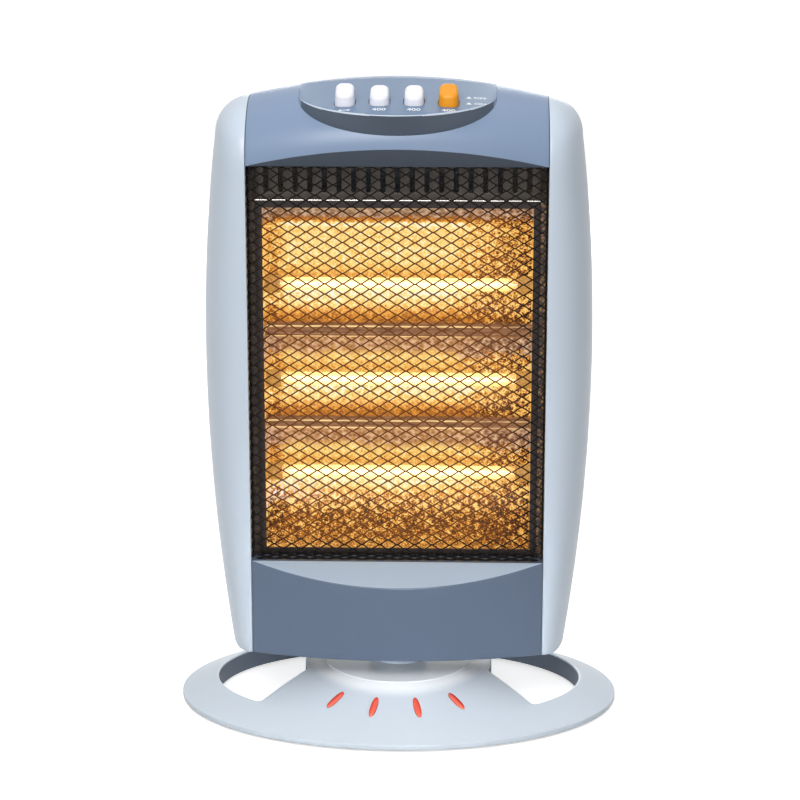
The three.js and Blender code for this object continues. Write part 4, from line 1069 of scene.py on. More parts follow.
def head_outline(margin, bottom_margin):
    """The head's outline at the split, as (x, z) pairs, drawn in by margins."""
    right = []
    for z in steps(HEAD_BOTTOM + bottom_margin, SHOULDER_Z, 40):
        right.append((bow(z) - margin, z))
    arch_start = math.asin(WINDOW_X / ARCH_RADIUS)
    for angle in steps(0, math.pi / 2 - arch_start, 16)[1:]:
        right.append((
            SHOULDER_X + (SHOULDER - margin) * math.cos(angle),
            SHOULDER_Z + (SHOULDER - margin) * math.sin(angle),
        ))
    for angle in steps(arch_start, 0, 16)[1:-1]:
        right.append((
            ARCH_RADIUS * math.sin(angle) * (1 - margin / WINDOW_X),
            HEAD_TOP - margin - ARCH_RADIUS + ARCH_RADIUS * math.cos(angle),
        ))
    left = [(-x, z) for x, z in reversed(right)]
    return [(x, z - back_drop(SPLIT_Y, z)) for x, z in right + [(0, HEAD_TOP - margin)] + left]


LOUVRE_WIDTH, LOUVRE_HEIGHT, LOUVRE_PITCH, LOUVRE_GAP = 88, 4, 9, 12
LOUVRE_BANKS = [(HEAD_TOP - 176, 6), (HEAD_BOTTOM + 30, 4)]
GRIP_X, GRIP_Z, GRIP_HEIGHT = 52, HEAD_TOP - 82, 24
GLAND_X, GLAND_Z = 12 - WINDOW_X, HEAD_BOTTOM + 34
REAR_SCREWS = [(-118, 492), (118, 492), (-138, 330), (138, 330), (-112, 68), (112, 68)]
SCREW_SINK = 1.6

REAR_ROUND_Y = REAR_Y - REAR_EDGE * (1 - math.sin(REAR_DRAFT))
REAR_TAPER = (REAR_ROUND_Y - SPLIT_Y - CLEARANCE) * math.tan(REAR_DRAFT)


def rear_loft(shrink):
    """The rear cover's block: it tapers back from the split, then rounds over to its rear face."""
    start_y = SPLIT_Y + CLEARANCE
    radius = REAR_EDGE - shrink
    if shrink == 0:
        rings = [(start_y, 0.5, 0.5), (start_y + 0.25, 0.15, 0.12), (start_y + 0.8, 0.1, 0)]
    else:
        rings = [(start_y - 1, shrink, shrink)]
    for angle in steps(REAR_DRAFT, math.pi / 2, 14 if shrink == 0 else 6):
        y = REAR_Y - REAR_EDGE + radius * math.sin(angle)
        taper = min(REAR_TAPER, (y - start_y) * math.tan(REAR_DRAFT))
        over = math.cos(REAR_DRAFT) - math.cos(angle)
        rings.append((y, shrink + taper + radius * over, shrink + radius * (1 - math.cos(angle))))
    return skin([[(x, y, z) for x, z in head_outline(side, bottom)] for y, side, bottom in rings])


def make_rear_cover():
    cutters = [rear_loft(WALL)]
    grip = WALL + CLEARANCE
    cutters.append(cuboid(
        (-GRIP_X - grip, REAR_Y - 2 * WALL, GRIP_Z - grip),
        (GRIP_X + grip, REAR_Y + WALL, GRIP_Z + GRIP_HEIGHT + grip),
    ))
    outline = rounded_rectangle(LOUVRE_WIDTH, LOUVRE_HEIGHT, 1.9, 5)
    holes = []
    for start, rows in LOUVRE_BANKS:
        for row in range(rows):
            for side in (-1, 1):
                middle = side * (LOUVRE_GAP + LOUVRE_WIDTH) / 2
                z = start + row * LOUVRE_PITCH + LOUVRE_HEIGHT / 2
                holes.append([(middle + px, z + pz) for px, pz in outline])
    holes.append(circle(GLAND_X, GLAND_Z, 5.8, 40))
    for hole in holes:
        cutters.append(skin([[(x, y, z) for x, z in hole] for y in (REAR_Y - 9, REAR_Y + 5)]))
    cutters.append(skin([
        [(x, y, z) for x, y in circle(0, 0, 26, 64)]
        for z in (HEAD_BOTTOM - 1, HEAD_BOTTOM + WALL + 1)
    ]))
    for x, z in REAR_SCREWS:
        cutters.append(skin([
            [(px, y, pz) for px, pz in circle(x, z, radius, 32)]
            for y, radius in ((rear_surface(x, z) - SCREW_SINK, 4.2), (REAR_Y + 2, 4.6))
        ]))
    cover = cut(rear_loft(0), cutters)
    finish_piece("shell_rear_cover", cover, "head", "shell_grey", ["rear_cover"], angle=32)
    for i, (x, z) in enumerate(REAR_SCREWS):
        surface = rear_surface(x, z) - SCREW_SINK
        make_screw(
            f"screw_rear_{i + 1}", "head",
            lambda px, py, h: (x + px, surface + h, z + py), 3.6,
        )
    for bank, (start, rows) in enumerate(LOUVRE_BANKS):
        for side, word in ((-1, "left"), (1, "right")):
            make_louvre_slats(f"louvre_slats_{bank + 1}_{word}", start, rows, side)


def rear_surface(x, z):
    """How far back the rear cover's face lies at a place seen from behind."""
    to_side = bow(min(z, SHOULDER_Z)) - abs(x)
    to_top = arch_z(min(abs(x), WINDOW_X)) - BACK_FALL - z
    inward = min(to_side, to_top) - REAR_TAPER
    short = max(0, REAR_EDGE * math.cos(REAR_DRAFT) - inward, REAR_EDGE - (z - HEAD_BOTTOM))
    return REAR_Y - REAR_EDGE + math.sqrt(max(0, REAR_EDGE**2 - short**2))


def make_screw(name, body, place, radius):
    """A pan-head screw with a cross recess, sunk in its hole."""
    profile = [(0, -2.4), (radius * 0.55, -2.4), (radius * 0.55, 0.1), (radius, 0.1), (radius, 0.5)]
    profile += [
        (radius * math.cos(a), 0.5 + 0.9 * math.sin(a)) for a in steps(0, math.pi / 2, 5)[1:]
    ]
    head = lathe(profile, 32)
    bmesh.ops.remove_doubles(head, verts=head.verts, dist=0.0005)
    arm, slot = radius * 0.6, radius * 0.14
    cross = [
        cuboid((-arm, -slot, 0.35), (arm, slot, 3)),
        cuboid((-slot, -arm, 0.35), (slot, arm, 3)),
    ]
    screw = cut(head, cross)
    for vert in screw.verts:
        vert.co = place(*vert.co)
    finish_piece(name, screw, body, "steel", angle=30)


def make_louvre_slats(name, start, rows, side):
    """Slats that slope down behind the slots, so that no finger reaches inside."""
    bm = bmesh.new()
    middle = side * (LOUVRE_GAP + LOUVRE_WIDTH) / 2
    low, high = middle - LOUVRE_WIDTH / 2, middle + LOUVRE_WIDTH / 2
    inner = REAR_Y - WALL - 0.2
    for row in range(rows):
        z = start + row * LOUVRE_PITCH
        section = [(inner, z - 0.2), (inner, z - 1.6), (inner - 6, z + 3.6), (inner - 6, z + 5.0)]
        skin([[(x, y, h) for y, h in section] for x in (low - 2, high + 2)], bm=bm)
    finish_piece(name, bm, "head", "shell_grey", angle=30)


# ------------------------------------------------------------------ base

BASE_X = mm_box("base_shell")[1].x
BASE_Y = mm_box("base_shell")[1].y
RIM_BOTTOM, RIM_TOP, RIM_ROUND = 2, 7, 0.8
OPENING_X, OPENING_Y, OPENING_Z = BASE_X - 31, BASE_Y - 28, 19.5
PEDESTAL, PEDESTAL_Z = 62, 36
OPENING_INNER = 79
WEB_APEX = 56.3
WEB_FRONT, WEB_REAR = math.radians(49.7), math.radians(78)
SOCKET = 20.3
OPENING_EDGE = 1.6  # rounding of the openings' upper edges
OPENING_CORNER = 3
MARKER_LENGTH, MARKER_WIDTH, MARKER_SINK = 20, 5.4, 1.4
MARKER_FAN_Y = -14
MARKERS = [
    (-38.4, BASE_Y - 46), (-13.6, BASE_Y - 50.5), (13.6, BASE_Y - 50.5), (38.4, BASE_Y - 46),
]
OVAL_STEPS = 180
BLEND = 0.12  # softens the change of slope at the openings' ellipse


def softened(start, middle, end, s):
    """start at s = 0, middle at 1 and end at 2, with the kink at 1 rounded off."""
    first, second = middle - start, end - middle
    u = s - 1
    if u <= -BLEND:
        soft = 0
    elif u >= BLEND:
        soft = u
    else:
        soft = (u + BLEND) ** 2 / (4 * BLEND)
    return middle + first * u + (second - first) * soft


def base_level(s):
    """Half-axes and height of the base's upper face, from the pedestal (0) to the rim (2)."""
    return (
        softened(PEDESTAL + 1, OPENING_X, BASE_X - RIM_ROUND, s),
        softened(PEDESTAL + 1, OPENING_Y, BASE_Y - RIM_ROUND, s),
        softened(PEDESTAL_Z - 0.8, OPENING_Z, RIM_TOP, s),
    )


def base_height(x, y):
    low, high = 0.0, 2.0
    for _ in range(26):
        middle = (low + high) / 2
        half_x, half_y, _ = base_level(middle)
        if (x / half_x) ** 2 + (y / half_y) ** 2 > 1:
            low = middle
        else:
            high = middle
    return base_level(low)[2]


def opening_outline():
    """The right-hand opening: an outer arc, a rear side, an inner arc, a front side."""
    def crossing(slope, inside):
        low, high = WEB_APEX, OPENING_X
        for _ in range(40):
            middle = (low + high) / 2
            if inside(middle, (middle - WEB_APEX) * slope):
                low = middle
            else:
                high = middle
        return low, (low - WEB_APEX) * slope

    def within_pedestal(x, y):
        return math.hypot(x, y) < OPENING_INNER

    def within_ellipse(x, y):
        return (x / OPENING_X) ** 2 + (y / OPENING_Y) ** 2 < 1

    inner, outer = [], []
    for slope in (-math.tan(WEB_FRONT), math.tan(WEB_REAR)):
        x, y = crossing(slope, within_pedestal)
        inner.append(math.atan2(y, x))
        x, y = crossing(slope, within_ellipse)
        outer.append(math.atan2(y / OPENING_Y, x / OPENING_X))
    outer_arc = [(OPENING_X * math.cos(a), OPENING_Y * math.sin(a)) for a in steps(*outer, 90)]
    inner_arc = [
        (OPENING_INNER * math.cos(a), OPENING_INNER * math.sin(a))
        for a in steps(inner[1], inner[0], 60)
    ]

    def side(start, end, count):
        return [(lerp(start[0], end[0], p), lerp(start[1], end[1], p)) for p in steps(0, 1, count)]

    rear = side(outer_arc[-1], inner_arc[0], 16)
    front = side(inner_arc[-1], outer_arc[0], 30)
    return smooth_corners([outer_arc, rear, inner_arc, front])


def smooth_corners(curves):
    """Joins curves end to end and rounds each corner between two of them."""
    corners = [Vector(curve[-1]) for curve in curves]
    trimmed = []
    for i, curve in enumerate(curves):
        ends = (corners[i - 1], corners[i])
        trimmed.append([
            p for p in curve if all((Vector(p) - end).length > OPENING_CORNER for end in ends)
        ])
    loop = []
    for i, curve in enumerate(trimmed):
        after = trimmed[(i + 1) % len(curves)]
        loop += curve
        a, b, c = Vector(curve[-1]), corners[i], Vector(after[0])
        for part in steps(0, 1, 8)[1:-1]:
            loop.append(tuple(a.lerp(b, part).lerp(b.lerp(c, part), part)))
    return loop


def inside_outline(x, y, loop):
    inside = False
    previous = loop[-1]
    for point in loop:
        if (point[1] > y) != (previous[1] > y):
            shift = (previous[0] - point[0]) * (y - point[1]) / (previous[1] - point[1])
            if x < shift + point[0]:
                inside = not inside
        previous = point
    return inside


def marker_place(marker, u, v, grow=0.0):
    """Plan position in a marker: u along it from -1 to 1, v across it."""
    angle, reach = marker
    half = MARKER_WIDTH / 2 * math.sqrt(max(0, 1 - abs(u) ** 2.6))
    half += grow * math.sqrt(max(0, 1 - u * u))
    radius = reach + u * (MARKER_LENGTH / 2 + grow)
    turn = math.radians(angle)
    across = v * half
    return (
        radius * math.sin(turn) + across * math.cos(turn),
        MARKER_FAN_Y - radius * math.cos(turn) + across * math.sin(turn),
    )


def marker_loop(marker, grow):
    us = [math.sin(a) for a in steps(-math.pi / 2, math.pi / 2, 18)]
    right = [marker_place(marker, u, 1, grow) for u in us]
    left = [marker_place(marker, u, -1, grow) for u in reversed(us)]
    return right + left[1:-1]


def pocket_floor(x, y):
    return base_height(x, y) - MARKER_SINK - CLEARANCE


def make_base_shell():
    points, heights, loops = [], [], []

    def add_loop(loop, height, constrained=False):
        start = len(points)
        for x, y in loop:
            points.append((x, y))
            heights.append(height(x, y))
        if constrained:
            count = len(loop)
            loops.extend((start + i, start + (i + 1) % count) for i in range(count))
        return start, len(loop)

    right = opening_outline()
    left = [(-x, y) for x, y in right]
    openings = [right, left]
    offsets = [OPENING_EDGE * (1 - math.cos(a)) for a in steps(0, math.pi / 2, 5)]
    walls = []
    for loop in openings:
        for offset in offsets:
            moved = inset_ring(loop, -offset)
            drop = OPENING_EDGE - math.sqrt(max(0, OPENING_EDGE**2 - (OPENING_EDGE - offset) ** 2))
            ring = add_loop(moved, lambda x, y: base_height(x, y) - drop, offset == 0)
            if offset == 0:
                walls.append(ring)
    pockets = [marker_loop(marker, CLEARANCE) for marker in MARKERS]
    for marker, pocket in zip(MARKERS, pockets):
        add_loop(marker_loop(marker, CLEARANCE + 0.35), base_height)
        add_loop(pocket, lambda x, y: base_height(x, y) - 0.12, True)
        add_loop(marker_loop(marker, CLEARANCE - 0.05), pocket_floor, True)
        add_loop([marker_place(marker, u, 0) for u in steps(-0.8, 0.8, 6)], pocket_floor)
    socket = add_loop(circle(0, 0, SOCKET, 64), lambda x, y: PEDESTAL_Z, True)
    add_loop(circle(0, 0, 40, 64), lambda x, y: PEDESTAL_Z)
    for a in steps(0, math.pi / 2, 4):
        radius = PEDESTAL - 0.8 + 1.6 * math.sin(a)
        drop = 0.7 * (1 - math.cos(a))
        add_loop(circle(0, 0, radius, OVAL_STEPS), lambda x, y: PEDESTAL_Z - drop)
    edge_loops = np.array([inset_ring(loop, -OPENING_EDGE) for loop in openings]).reshape(-1, 2)
    pocket_loops = np.array(pockets).reshape(-1, 2)
    for s in steps(0.03, 2, 60):
        half_x, half_y, z = base_level(s)
        last = s == 2
        ring = []
        for a in steps(0, 2 * math.pi, OVAL_STEPS)[:-1]:
            x, y = half_x * math.cos(a), half_y * math.sin(a)
            if not last:
                if any(inside_outline(x, y, loop) for loop in openings):
                    continue
                if np.min(np.hypot(edge_loops[:, 0] - x, edge_loops[:, 1] - y)) < 1.6:
                    continue
                if any((Vector(loop[0]) - Vector((x, y))).length < 30 for loop in pockets):
                    if np.min(np.hypot(pocket_loops[:, 0] - x, pocket_loops[:, 1] - y)) < 1.2:
                        continue
                    if any(inside_outline(x, y, loop) for loop in pockets):
                        continue
            ring.append((x, y))
        if last:
            rim = add_loop(ring, lambda x, y: RIM_TOP, True)
        else:
            add_loop(ring, lambda x, y, z=z: z)

    flat = geometry.delaunay_2d_cdt([Vector(p) for p in points], loops, [], 0, 1e-5)
    vertices, _, faces, sources = flat[:4]
    bm = bmesh.new()
    verts = []
    where = {}
    for i, (vertex, source) in enumerate(zip(vertices, sources)):
        z = heights[source[0]] if source else base_height(*vertex)
        verts.append(bm.verts.new((vertex.x, vertex.y, z)))
        for index in source:
            where[index] = i
    for face in faces:
        x = sum(vertices[i].x for i in face) / len(face)
        y = sum(vertices[i].y for i in face) / len(face)
        if math.hypot(x, y) < SOCKET or any(inside_outline(x, y, loop) for loop in openings):
            continue
        bm.faces.new([verts[i] for i in face])

    def drop_wall(ring, levels):
        start, count = ring
        row = [verts[where[start + i]] for i in range(count)]
        for scale, z in levels:
            lower = [
                bm.verts.new((v.co.x * scale(v)[0], v.co.y * scale(v)[1], z)) for v in row
            ]
            for i in range(count):
                j = (i + 1) % count
                bm.faces.new((row[i], row[j], lower[j], lower[i]))
            row = lower

    def plain(_):
        return (1, 1)

    for ring in walls:
        before = len(bm.faces)
        drop_wall(ring, [(plain, 12), (plain, RIM_BOTTOM + 0.1)])
        bm.faces.ensure_lookup_table()
        for face in bm.faces[before:]:
            face.material_index = 1
    drop_wall(socket, [(plain, PEDESTAL_Z - 12)])
    base_x, base_y = BASE_X - RIM_ROUND, BASE_Y - RIM_ROUND
    levels = []
    reach = 0.0
    for a in steps(math.radians(25), math.pi / 2, 4):
        out = RIM_ROUND * math.sin(a)
        levels.append((reach, out, RIM_TOP - RIM_ROUND + RIM_ROUND * math.cos(a)))
        reach = out
    levels.append((reach, RIM_ROUND, RIM_BOTTOM + 1))
    levels.append((RIM_ROUND, RIM_ROUND - 0.3, RIM_BOTTOM + 0.3))
    levels.append((RIM_ROUND - 0.3, RIM_ROUND - 0.8, RIM_BOTTOM))

    def grown(now, then):
        return lambda _: ((base_x + then) / (base_x + now), (base_y + then) / (base_y + now))

    drop_wall(rim, [(grown(now, then), z) for now, then, z in levels])
    bmesh.ops.recalc_face_normals(bm, faces=bm.faces)
    top = max(bm.faces, key=lambda f: f.calc_center_median().z)
    if top.normal.z < 0:
        bmesh.ops.reverse_faces(bm, faces=bm.faces)
    shell = linked("work", bm)
    thick = shell.modifiers.new("wall", "SOLIDIFY")
    thick.thickness = WALL
    thick.offset = -1
    thick.use_even_offset = False
    finish_piece(
        "shell_base", evaluated(shell), "base", "shell_grey", ["base_shell"], angle=38,
        materials=[BASE_GREY, SHADED_GREY],
    )


def make_marker(i, marker):
    """A glossy lens set in its pocket, domed across and along."""
    rings = []
    us = [math.sin(a) for a in steps(-math.pi / 2 * 0.98, math.pi / 2 * 0.98, 28)]
    vs = steps(-1, 1, 10)
    for u in us:
        ring = []
        for v in vs:
            x, y = marker_place(marker, u, v)
            dome = 0.35 + 0.85 * (1 - v * v) * (1 - u**4)
            ring.append((x, y, base_height(x, y) + dome))
        for v in (1, -1):
            x, y = marker_place(marker, u, v)
            ring.append((x, y, base_height(x, y) - MARKER_SINK))
        rings.append(ring)
    finish_piece(
        f"lens_marker_{i}", skin(rings), "base", "marker_red", [f"base_marker_{i}"], angle=50,
    )


def make_neck():
    """The post between base and head, with softened edges."""
    low, high = mm_box("neck_post")
    radius, spigot, bore, socket = 24, 12, 8, 20
    shoulder = PEDESTAL_Z + CLEARANCE
    top = HEAD_BOTTOM - CLEARANCE
    profile = [(bore, low.z), (socket, low.z), (socket, shoulder)]
    soft = 0.6
    quarter = steps(0, math.pi / 2, 3)
    edge = radius - soft
    profile += [
        (edge + soft * math.sin(a), shoulder + soft - soft * math.cos(a)) for a in quarter
    ]
    profile += [(edge + soft * math.cos(a), top - soft + soft * math.sin(a)) for a in quarter]
    profile += [(spigot, top), (spigot, high.z - 0.5), (spigot - 0.5, high.z), (bore, high.z)]
    finish_piece("post_neck", lathe(profile, 72), "base", "shell_grey", ["neck_post"], angle=30)


# ------------------------------------------------------------------ buttons and prints


def make_button(i):
    """A wedge-shaped push button with rounded upper edges, on its stem."""
    x, sink = BUTTON_X[i], BUTTON_SINK[i]
    root = -WALL - CLEARANCE
    rings = []

    def ring(inset, level):
        radius = max(1.0, BUTTON_CORNER - inset * 0.9)
        width, depth = BUTTON_WIDTH - 2 * inset, BUTTON_DEPTH - 2 * inset
        points = rounded_rectangle(width, depth, radius, 8)
        rings.append([on_control(x, px, py, level(py) - sink) for px, py in points])

    def top(py):
        return lerp(BUTTON_FRONT, BUTTON_REAR, py / BUTTON_DEPTH + 0.5)

    ring(0, lambda py: root)
    ring(0, lambda py: 0.8)
    ring(0.25, lambda py: lerp(0.8, top(py) - BUTTON_EDGE, 0.5))
    for a in steps(0, math.pi / 2, 8):
        ring(0.6 + 2.6 * (1 - math.cos(a)), lambda py: top(py) - BUTTON_EDGE * (1 - math.sin(a)))
    ring(5.0, lambda py: top(py) + 0.06)
    ring(6.6, lambda py: top(py) + 0.09)
    bm = skin(rings)
    flange = BUTTON_FLANGE_INNER if abs(x) < BUTTON_X[3] else BUTTON_FLANGE_OUTER
    for half, y0, y1, z0, z1 in (
        (flange, 0, BUTTON_FLANGE_REAR, root - BUTTON_FLANGE_THICKNESS, root),
        (STEM_HALF, -STEM_HALF, STEM_HALF, STEM_END, root + 0.5),
    ):
        corners = [(-half, y0), (half, y0), (half, y1), (-half, y1)]
        skin([[on_control(x, px, py, z - sink) for px, py in corners] for z in (z0, z1)], bm=bm)
    slot = "button_orange" if i == 3 else "button_white"
    node = f"button_{i + 1}"
    finish_piece(f"cap_{node}", bm, f"{node}_body", slot, [node], angle=40)


def text_mesh(text, size):
    curve = bpy.data.curves.new("work", "FONT")
    curve.body = text
    curve.size = size
    curve.align_x = "CENTER"
    curve.align_y = "CENTER"
    curve.extrude = 0.03
    curve.offset = 0.12
    return drawn(curve)


def lay_print(name, bm, x, y):
    """Lays a flat drawing on the control surface, with its middle at a place in plan."""
    stretch = math.cos(CONTROL_TILT)
    for vert in bm.verts:
        px, py = x + vert.co.x, y + vert.co.y * stretch
        vert.co = control_point(px, py, 0.05 + vert.co.z)
    finish_piece(name, bm, "head", "shell_blue", materials=[INK])


def make_prints():
    caption_y = -60
    for i in (1, 2, 3):
        lay_print(f"print_caption_{i + 1}", text_mesh("400", 7.2), BUTTON_X[i], caption_y)
    arrows = plate([
        (-5, 0), (-2.6, 1.9), (-2.6, 0.6), (2.6, 0.6), (2.6, 1.9), (5, 0),
        (2.6, -1.9), (2.6, -0.6), (-2.6, -0.6), (-2.6, -1.9),
    ], [], 0.06)
    lay_print("print_swing_arrow", arrows, BUTTON_X[0], caption_y)
    mark_x, mark_y = 59.5, -30
    for k, word in enumerate(("OFF", "ON")):
        y = mark_y - 13 * k
        triangle = plate([(-2.3, -2.2), (0, 2.6), (2.3, -2.2)], [], 0.06)
        lay_print(f"print_triangle_{k + 1}", triangle, mark_x - 3.2, y)
        lay_print(f"print_word_{word.lower()}", text_mesh(word, 5.8), mark_x + 5.6, y)


# ------------------------------------------------------------------ grille

MESH_PITCH_X, MESH_ROW = 14.4, 4.2
STRAND_WIDTH, STRAND_THICKNESS = 1.1, 0.8
STRAND_TILT = math.radians(48)
RETURN_BEND = 2.0


def wrap_return(distance, half, bend_depth):
    """Runs past an edge of the face: along the face, round a bend, then straight back."""
    flat = half - RETURN_BEND
    if abs(distance) <= flat:
        return distance, 0, 0.0
    over = abs(distance) - flat
    arc = RETURN_BEND * math.pi / 2
    sign = 1 if distance > 0 else -1
    if over < arc:
        angle = over / RETURN_BEND
        across = flat + RETURN_BEND * math.sin(angle)
        return sign * across, RETURN_BEND * (1 - math.cos(angle)), sign * angle
    return sign * half, min(bend_depth, RETURN_BEND + over - arc), sign * math.pi / 2


def make_grille():
    """Expanded metal: rows of zigzag strands joined at their knuckles, bent back all round."""
    half_x = PANEL_X - 0.5
    middle_z = (WINDOW_TOP + WINDOW_BOTTOM) / 2
    half_z = (WINDOW_TOP - WINDOW_BOTTOM) / 2 - CLEARANCE - 0.5
    depth = GRILLE_BACK_Y - FRONT_Y - 0.5
    face_y = FRONT_Y + 0.65
    past_face = RETURN_BEND * math.pi / 2 + depth - 2 * RETURN_BEND
    reach_x, reach_z = half_x + past_face, half_z + past_face
    half_pitch = MESH_PITCH_X / 2
    amplitude = MESH_ROW / 2
    rows = int(reach_z / MESH_ROW)
    columns = int(reach_x / half_pitch)
    bm = bmesh.new()
    cos_t, sin_t = math.cos(STRAND_TILT), math.sin(STRAND_TILT)
    corners = []
    for w, t in ((-1, -1), (1, -1), (1, 1), (-1, 1)):
        across, through = w * STRAND_WIDTH / 2, t * STRAND_THICKNESS / 2
        corners.append((across * cos_t - through * sin_t, across * sin_t + through * cos_t))

    def place(s, t, inward):
        x, back_x, turn_x = wrap_return(s, half_x, depth)
        z, back_z, turn_z = wrap_return(t, half_z, depth)
        back = max(back_x, back_z)
        if back_x >= back_z:
            nx, ny, nz = -math.sin(turn_x), math.cos(turn_x), 0
        else:
            nx, ny, nz = 0, math.cos(turn_z), -math.sin(turn_z)
        return (x + nx * inward, face_y + back + ny * inward, middle_z + z + nz * inward)

    for row in range(-rows, rows + 1):
        centre = row * MESH_ROW
        in_top = abs(centre) > half_z - RETURN_BEND
        limit = int((half_x - RETURN_BEND) / half_pitch) if in_top else columns
        stations = []
        for k in range(-limit, limit + 1):
            peak = amplitude if (k + row) % 2 == 0 else -amplitude
            for shift in (-0.07, 0.07):
                stations.append(((k + shift) * half_pitch, centre + peak))
        skin([[place(s, t + rise, inward) for rise, inward in corners] for s, t in stations], bm=bm)
    finish_piece("mesh_grille", bm, "head", "mesh_black", ["grille"], angle=25)


# ------------------------------------------------------------------ vent plate, reflector, lamps

SLOT_COUNT, SLOT_WIDTH = 19, 4.3
SLOT_PITCH = (2 * WINDOW_X - 29.4) / (SLOT_COUNT - 1)


def make_vent_plate():
    low, high = mm_box("vent_plate")
    radius = SLOT_WIDTH / 2
    bottom, top = WINDOW_TOP - 25 + radius, WINDOW_TOP + 8
    holes = []
    for i in range(SLOT_COUNT):
        x = (i - (SLOT_COUNT - 1) / 2) * SLOT_PITCH
        arc = [
            (x + radius * math.cos(a), bottom + radius * math.sin(a))
            for a in steps(math.pi, 2 * math.pi, 14)
        ]
        holes.append(arc + [(x + radius, top), (x - radius, top)])
    outline = [(low.x, low.z), (high.x, low.z), (high.x, high.z), (low.x, high.z)]
    bm = plate(outline, holes, SHEET, 0.2)
    middle_y = high.y - SHEET / 2
    for vert in bm.verts:
        x, z, y = vert.co
        vert.co = (x, middle_y + y, z)
    section = []
    for a in steps(-math.pi / 2, math.pi / 2, 6):
        section.append((low.y + 0.6 - 0.6 * math.cos(a), low.z + 0.6 + 0.6 * math.sin(a)))
    section += [(high.y, low.z + SHEET), (high.y, low.z)]
    # The folded lower edge takes a bright metal as a painted highlight.
    before = len(bm.faces)
    skin([[(x, y, z) for y, z in section] for x in (low.x, high.x)], bm=bm)
    bm.faces.ensure_lookup_table()
    for face in bm.faces[before:]:
        face.material_index = 1
    finish_piece(
        "sheet_vent_plate", bm, "head", "zinc_sheet", ["vent_plate"], angle=30,
        materials=[MATERIALS["zinc_sheet"], EDGE_HIGHLIGHT_METAL],
    )


def reflector_curve():
    """The reflector seen from the side, as (y, z) pairs from the top edge down."""
    upper, lower = LAMP_Z[0], LAMP_Z[-1]
    flange_depth, ridge_depth = TROUGH_Y - FLANGE_Y, TROUGH_Y - RIDGE_Y
    points = [
        (FLANGE_Y + flange_depth * math.cos(a), upper + (REFLECTOR_TOP - upper) * math.sin(a))
        for a in steps(math.pi / 2, 0, 64)
    ]
    for above, below in zip(LAMP_Z, LAMP_Z[1:]):
        ridge = (above + below) / 2
        half = (above - below) / 2 - RIDGE_HALF
        for a in steps(0, math.pi / 2, 34)[1:]:
            points.append((RIDGE_Y + ridge_depth * math.cos(a), above - half * math.sin(a)))
        for part in steps(-1, 1, 14)[1:-1]:
            bead = 1.1 * math.exp(-(((abs(part) - 0.86) / 0.12) ** 2))
            points.append((RIDGE_Y - 0.4 - bead, ridge - part * RIDGE_HALF))
        for a in steps(math.pi / 2, 0, 34)[:-1]:
            points.append((RIDGE_Y + ridge_depth * math.cos(a), below + half * math.sin(a)))
    return points + [
        (FLANGE_Y + flange_depth * math.cos(a), lower - (lower - REFLECTOR_BOTTOM) * math.sin(a))
        for a in steps(0, math.pi / 2, 64)
    ]


def pebble(x, along):
    """Height of the embossing, in millimetres, at a place on the unrolled sheet."""
    cell = Vector((x / 3.0, along / 3.0, 0))
    return 0.35 * (noise.noise(cell, noise_basis="VORONOI_F1") + 0.3)


def make_reflector():
    curve = reflector_curve()
    lengths = [0.0]
    for before, after in zip(curve, curve[1:]):
        lengths.append(lengths[-1] + math.dist(before, after))
    fine = []
    wanted = int(lengths[-1] / 0.9)
    k = 0
    for i in range(wanted + 1):
        target = lengths[-1] * i / wanted
        while k < len(curve) - 2 and lengths[k + 1] < target:
            k += 1
        part = (target - lengths[k]) / max(1e-6, lengths[k + 1] - lengths[k])
        y, z = (lerp(a, b, part) for a, b in zip(curve[k], curve[k + 1]))
        fine.append((y, z, target))
    normals = []
    for i in range(len(fine)):
        before, after = fine[max(0, i - 2)], fine[min(len(fine) - 1, i + 2)]
        dy, dz = after[0] - before[0], after[1] - before[1]
        size = math.hypot(dy, dz) or 1
        normals.append((dz / size, -dy / size))
    columns = steps(-REFLECTOR_X, REFLECTOR_X, 242)
    bm = bmesh.new()
    front = []
    for (y, z, along), (ny, nz) in zip(fine, normals):
        row = []
        for x in columns:
            height = pebble(x, along) * min(1, 0.35 + max(0, (x + 20) / 90))
            row.append(bm.verts.new((x, y + ny * height, z + nz * height)))
        front.append(row)
    back = []
    for (y, z, _), (ny, nz) in zip(fine[::6] + [fine[-1]], normals[::6] + [normals[-1]]):
        y_back, z_back = max(FLANGE_Y, y - ny * SHEET), z - nz * SHEET
        back.append([bm.verts.new((x, y_back, z_back)) for x in (-REFLECTOR_X, REFLECTOR_X)])
    for low, high in zip(front, front[1:]):
        for i in range(len(low) - 1):
            bm.faces.new((low[i], low[i + 1], high[i + 1], high[i]))
    back_faces = []
    for low, high in zip(back, back[1:]):
        back_faces.append(bm.faces.new((low[0], low[1], high[1], high[0])))
    bm.faces.new([*front[0], back[0][1], back[0][0]])
    bm.faces.new([*front[-1], back[-1][1], back[-1][0]])
    for side in (0, -1):
        edge = [row[side] for row in front]
        other = [pair[side] for pair in back]
        bm.faces.new(edge + other[::-1])
    for face in back_faces:
        face.material_index = 1
    bmesh.ops.recalc_face_normals(bm, faces=bm.faces)
    finish_piece(
        "sheet_reflector", bm, "head", "reflector_metal", ["reflector"], angle=60,
        materials=[MATERIALS["reflector_metal"], MATERIALS["zinc_sheet"]],
    )
    make_reflector_ends(curve)
    make_flange()


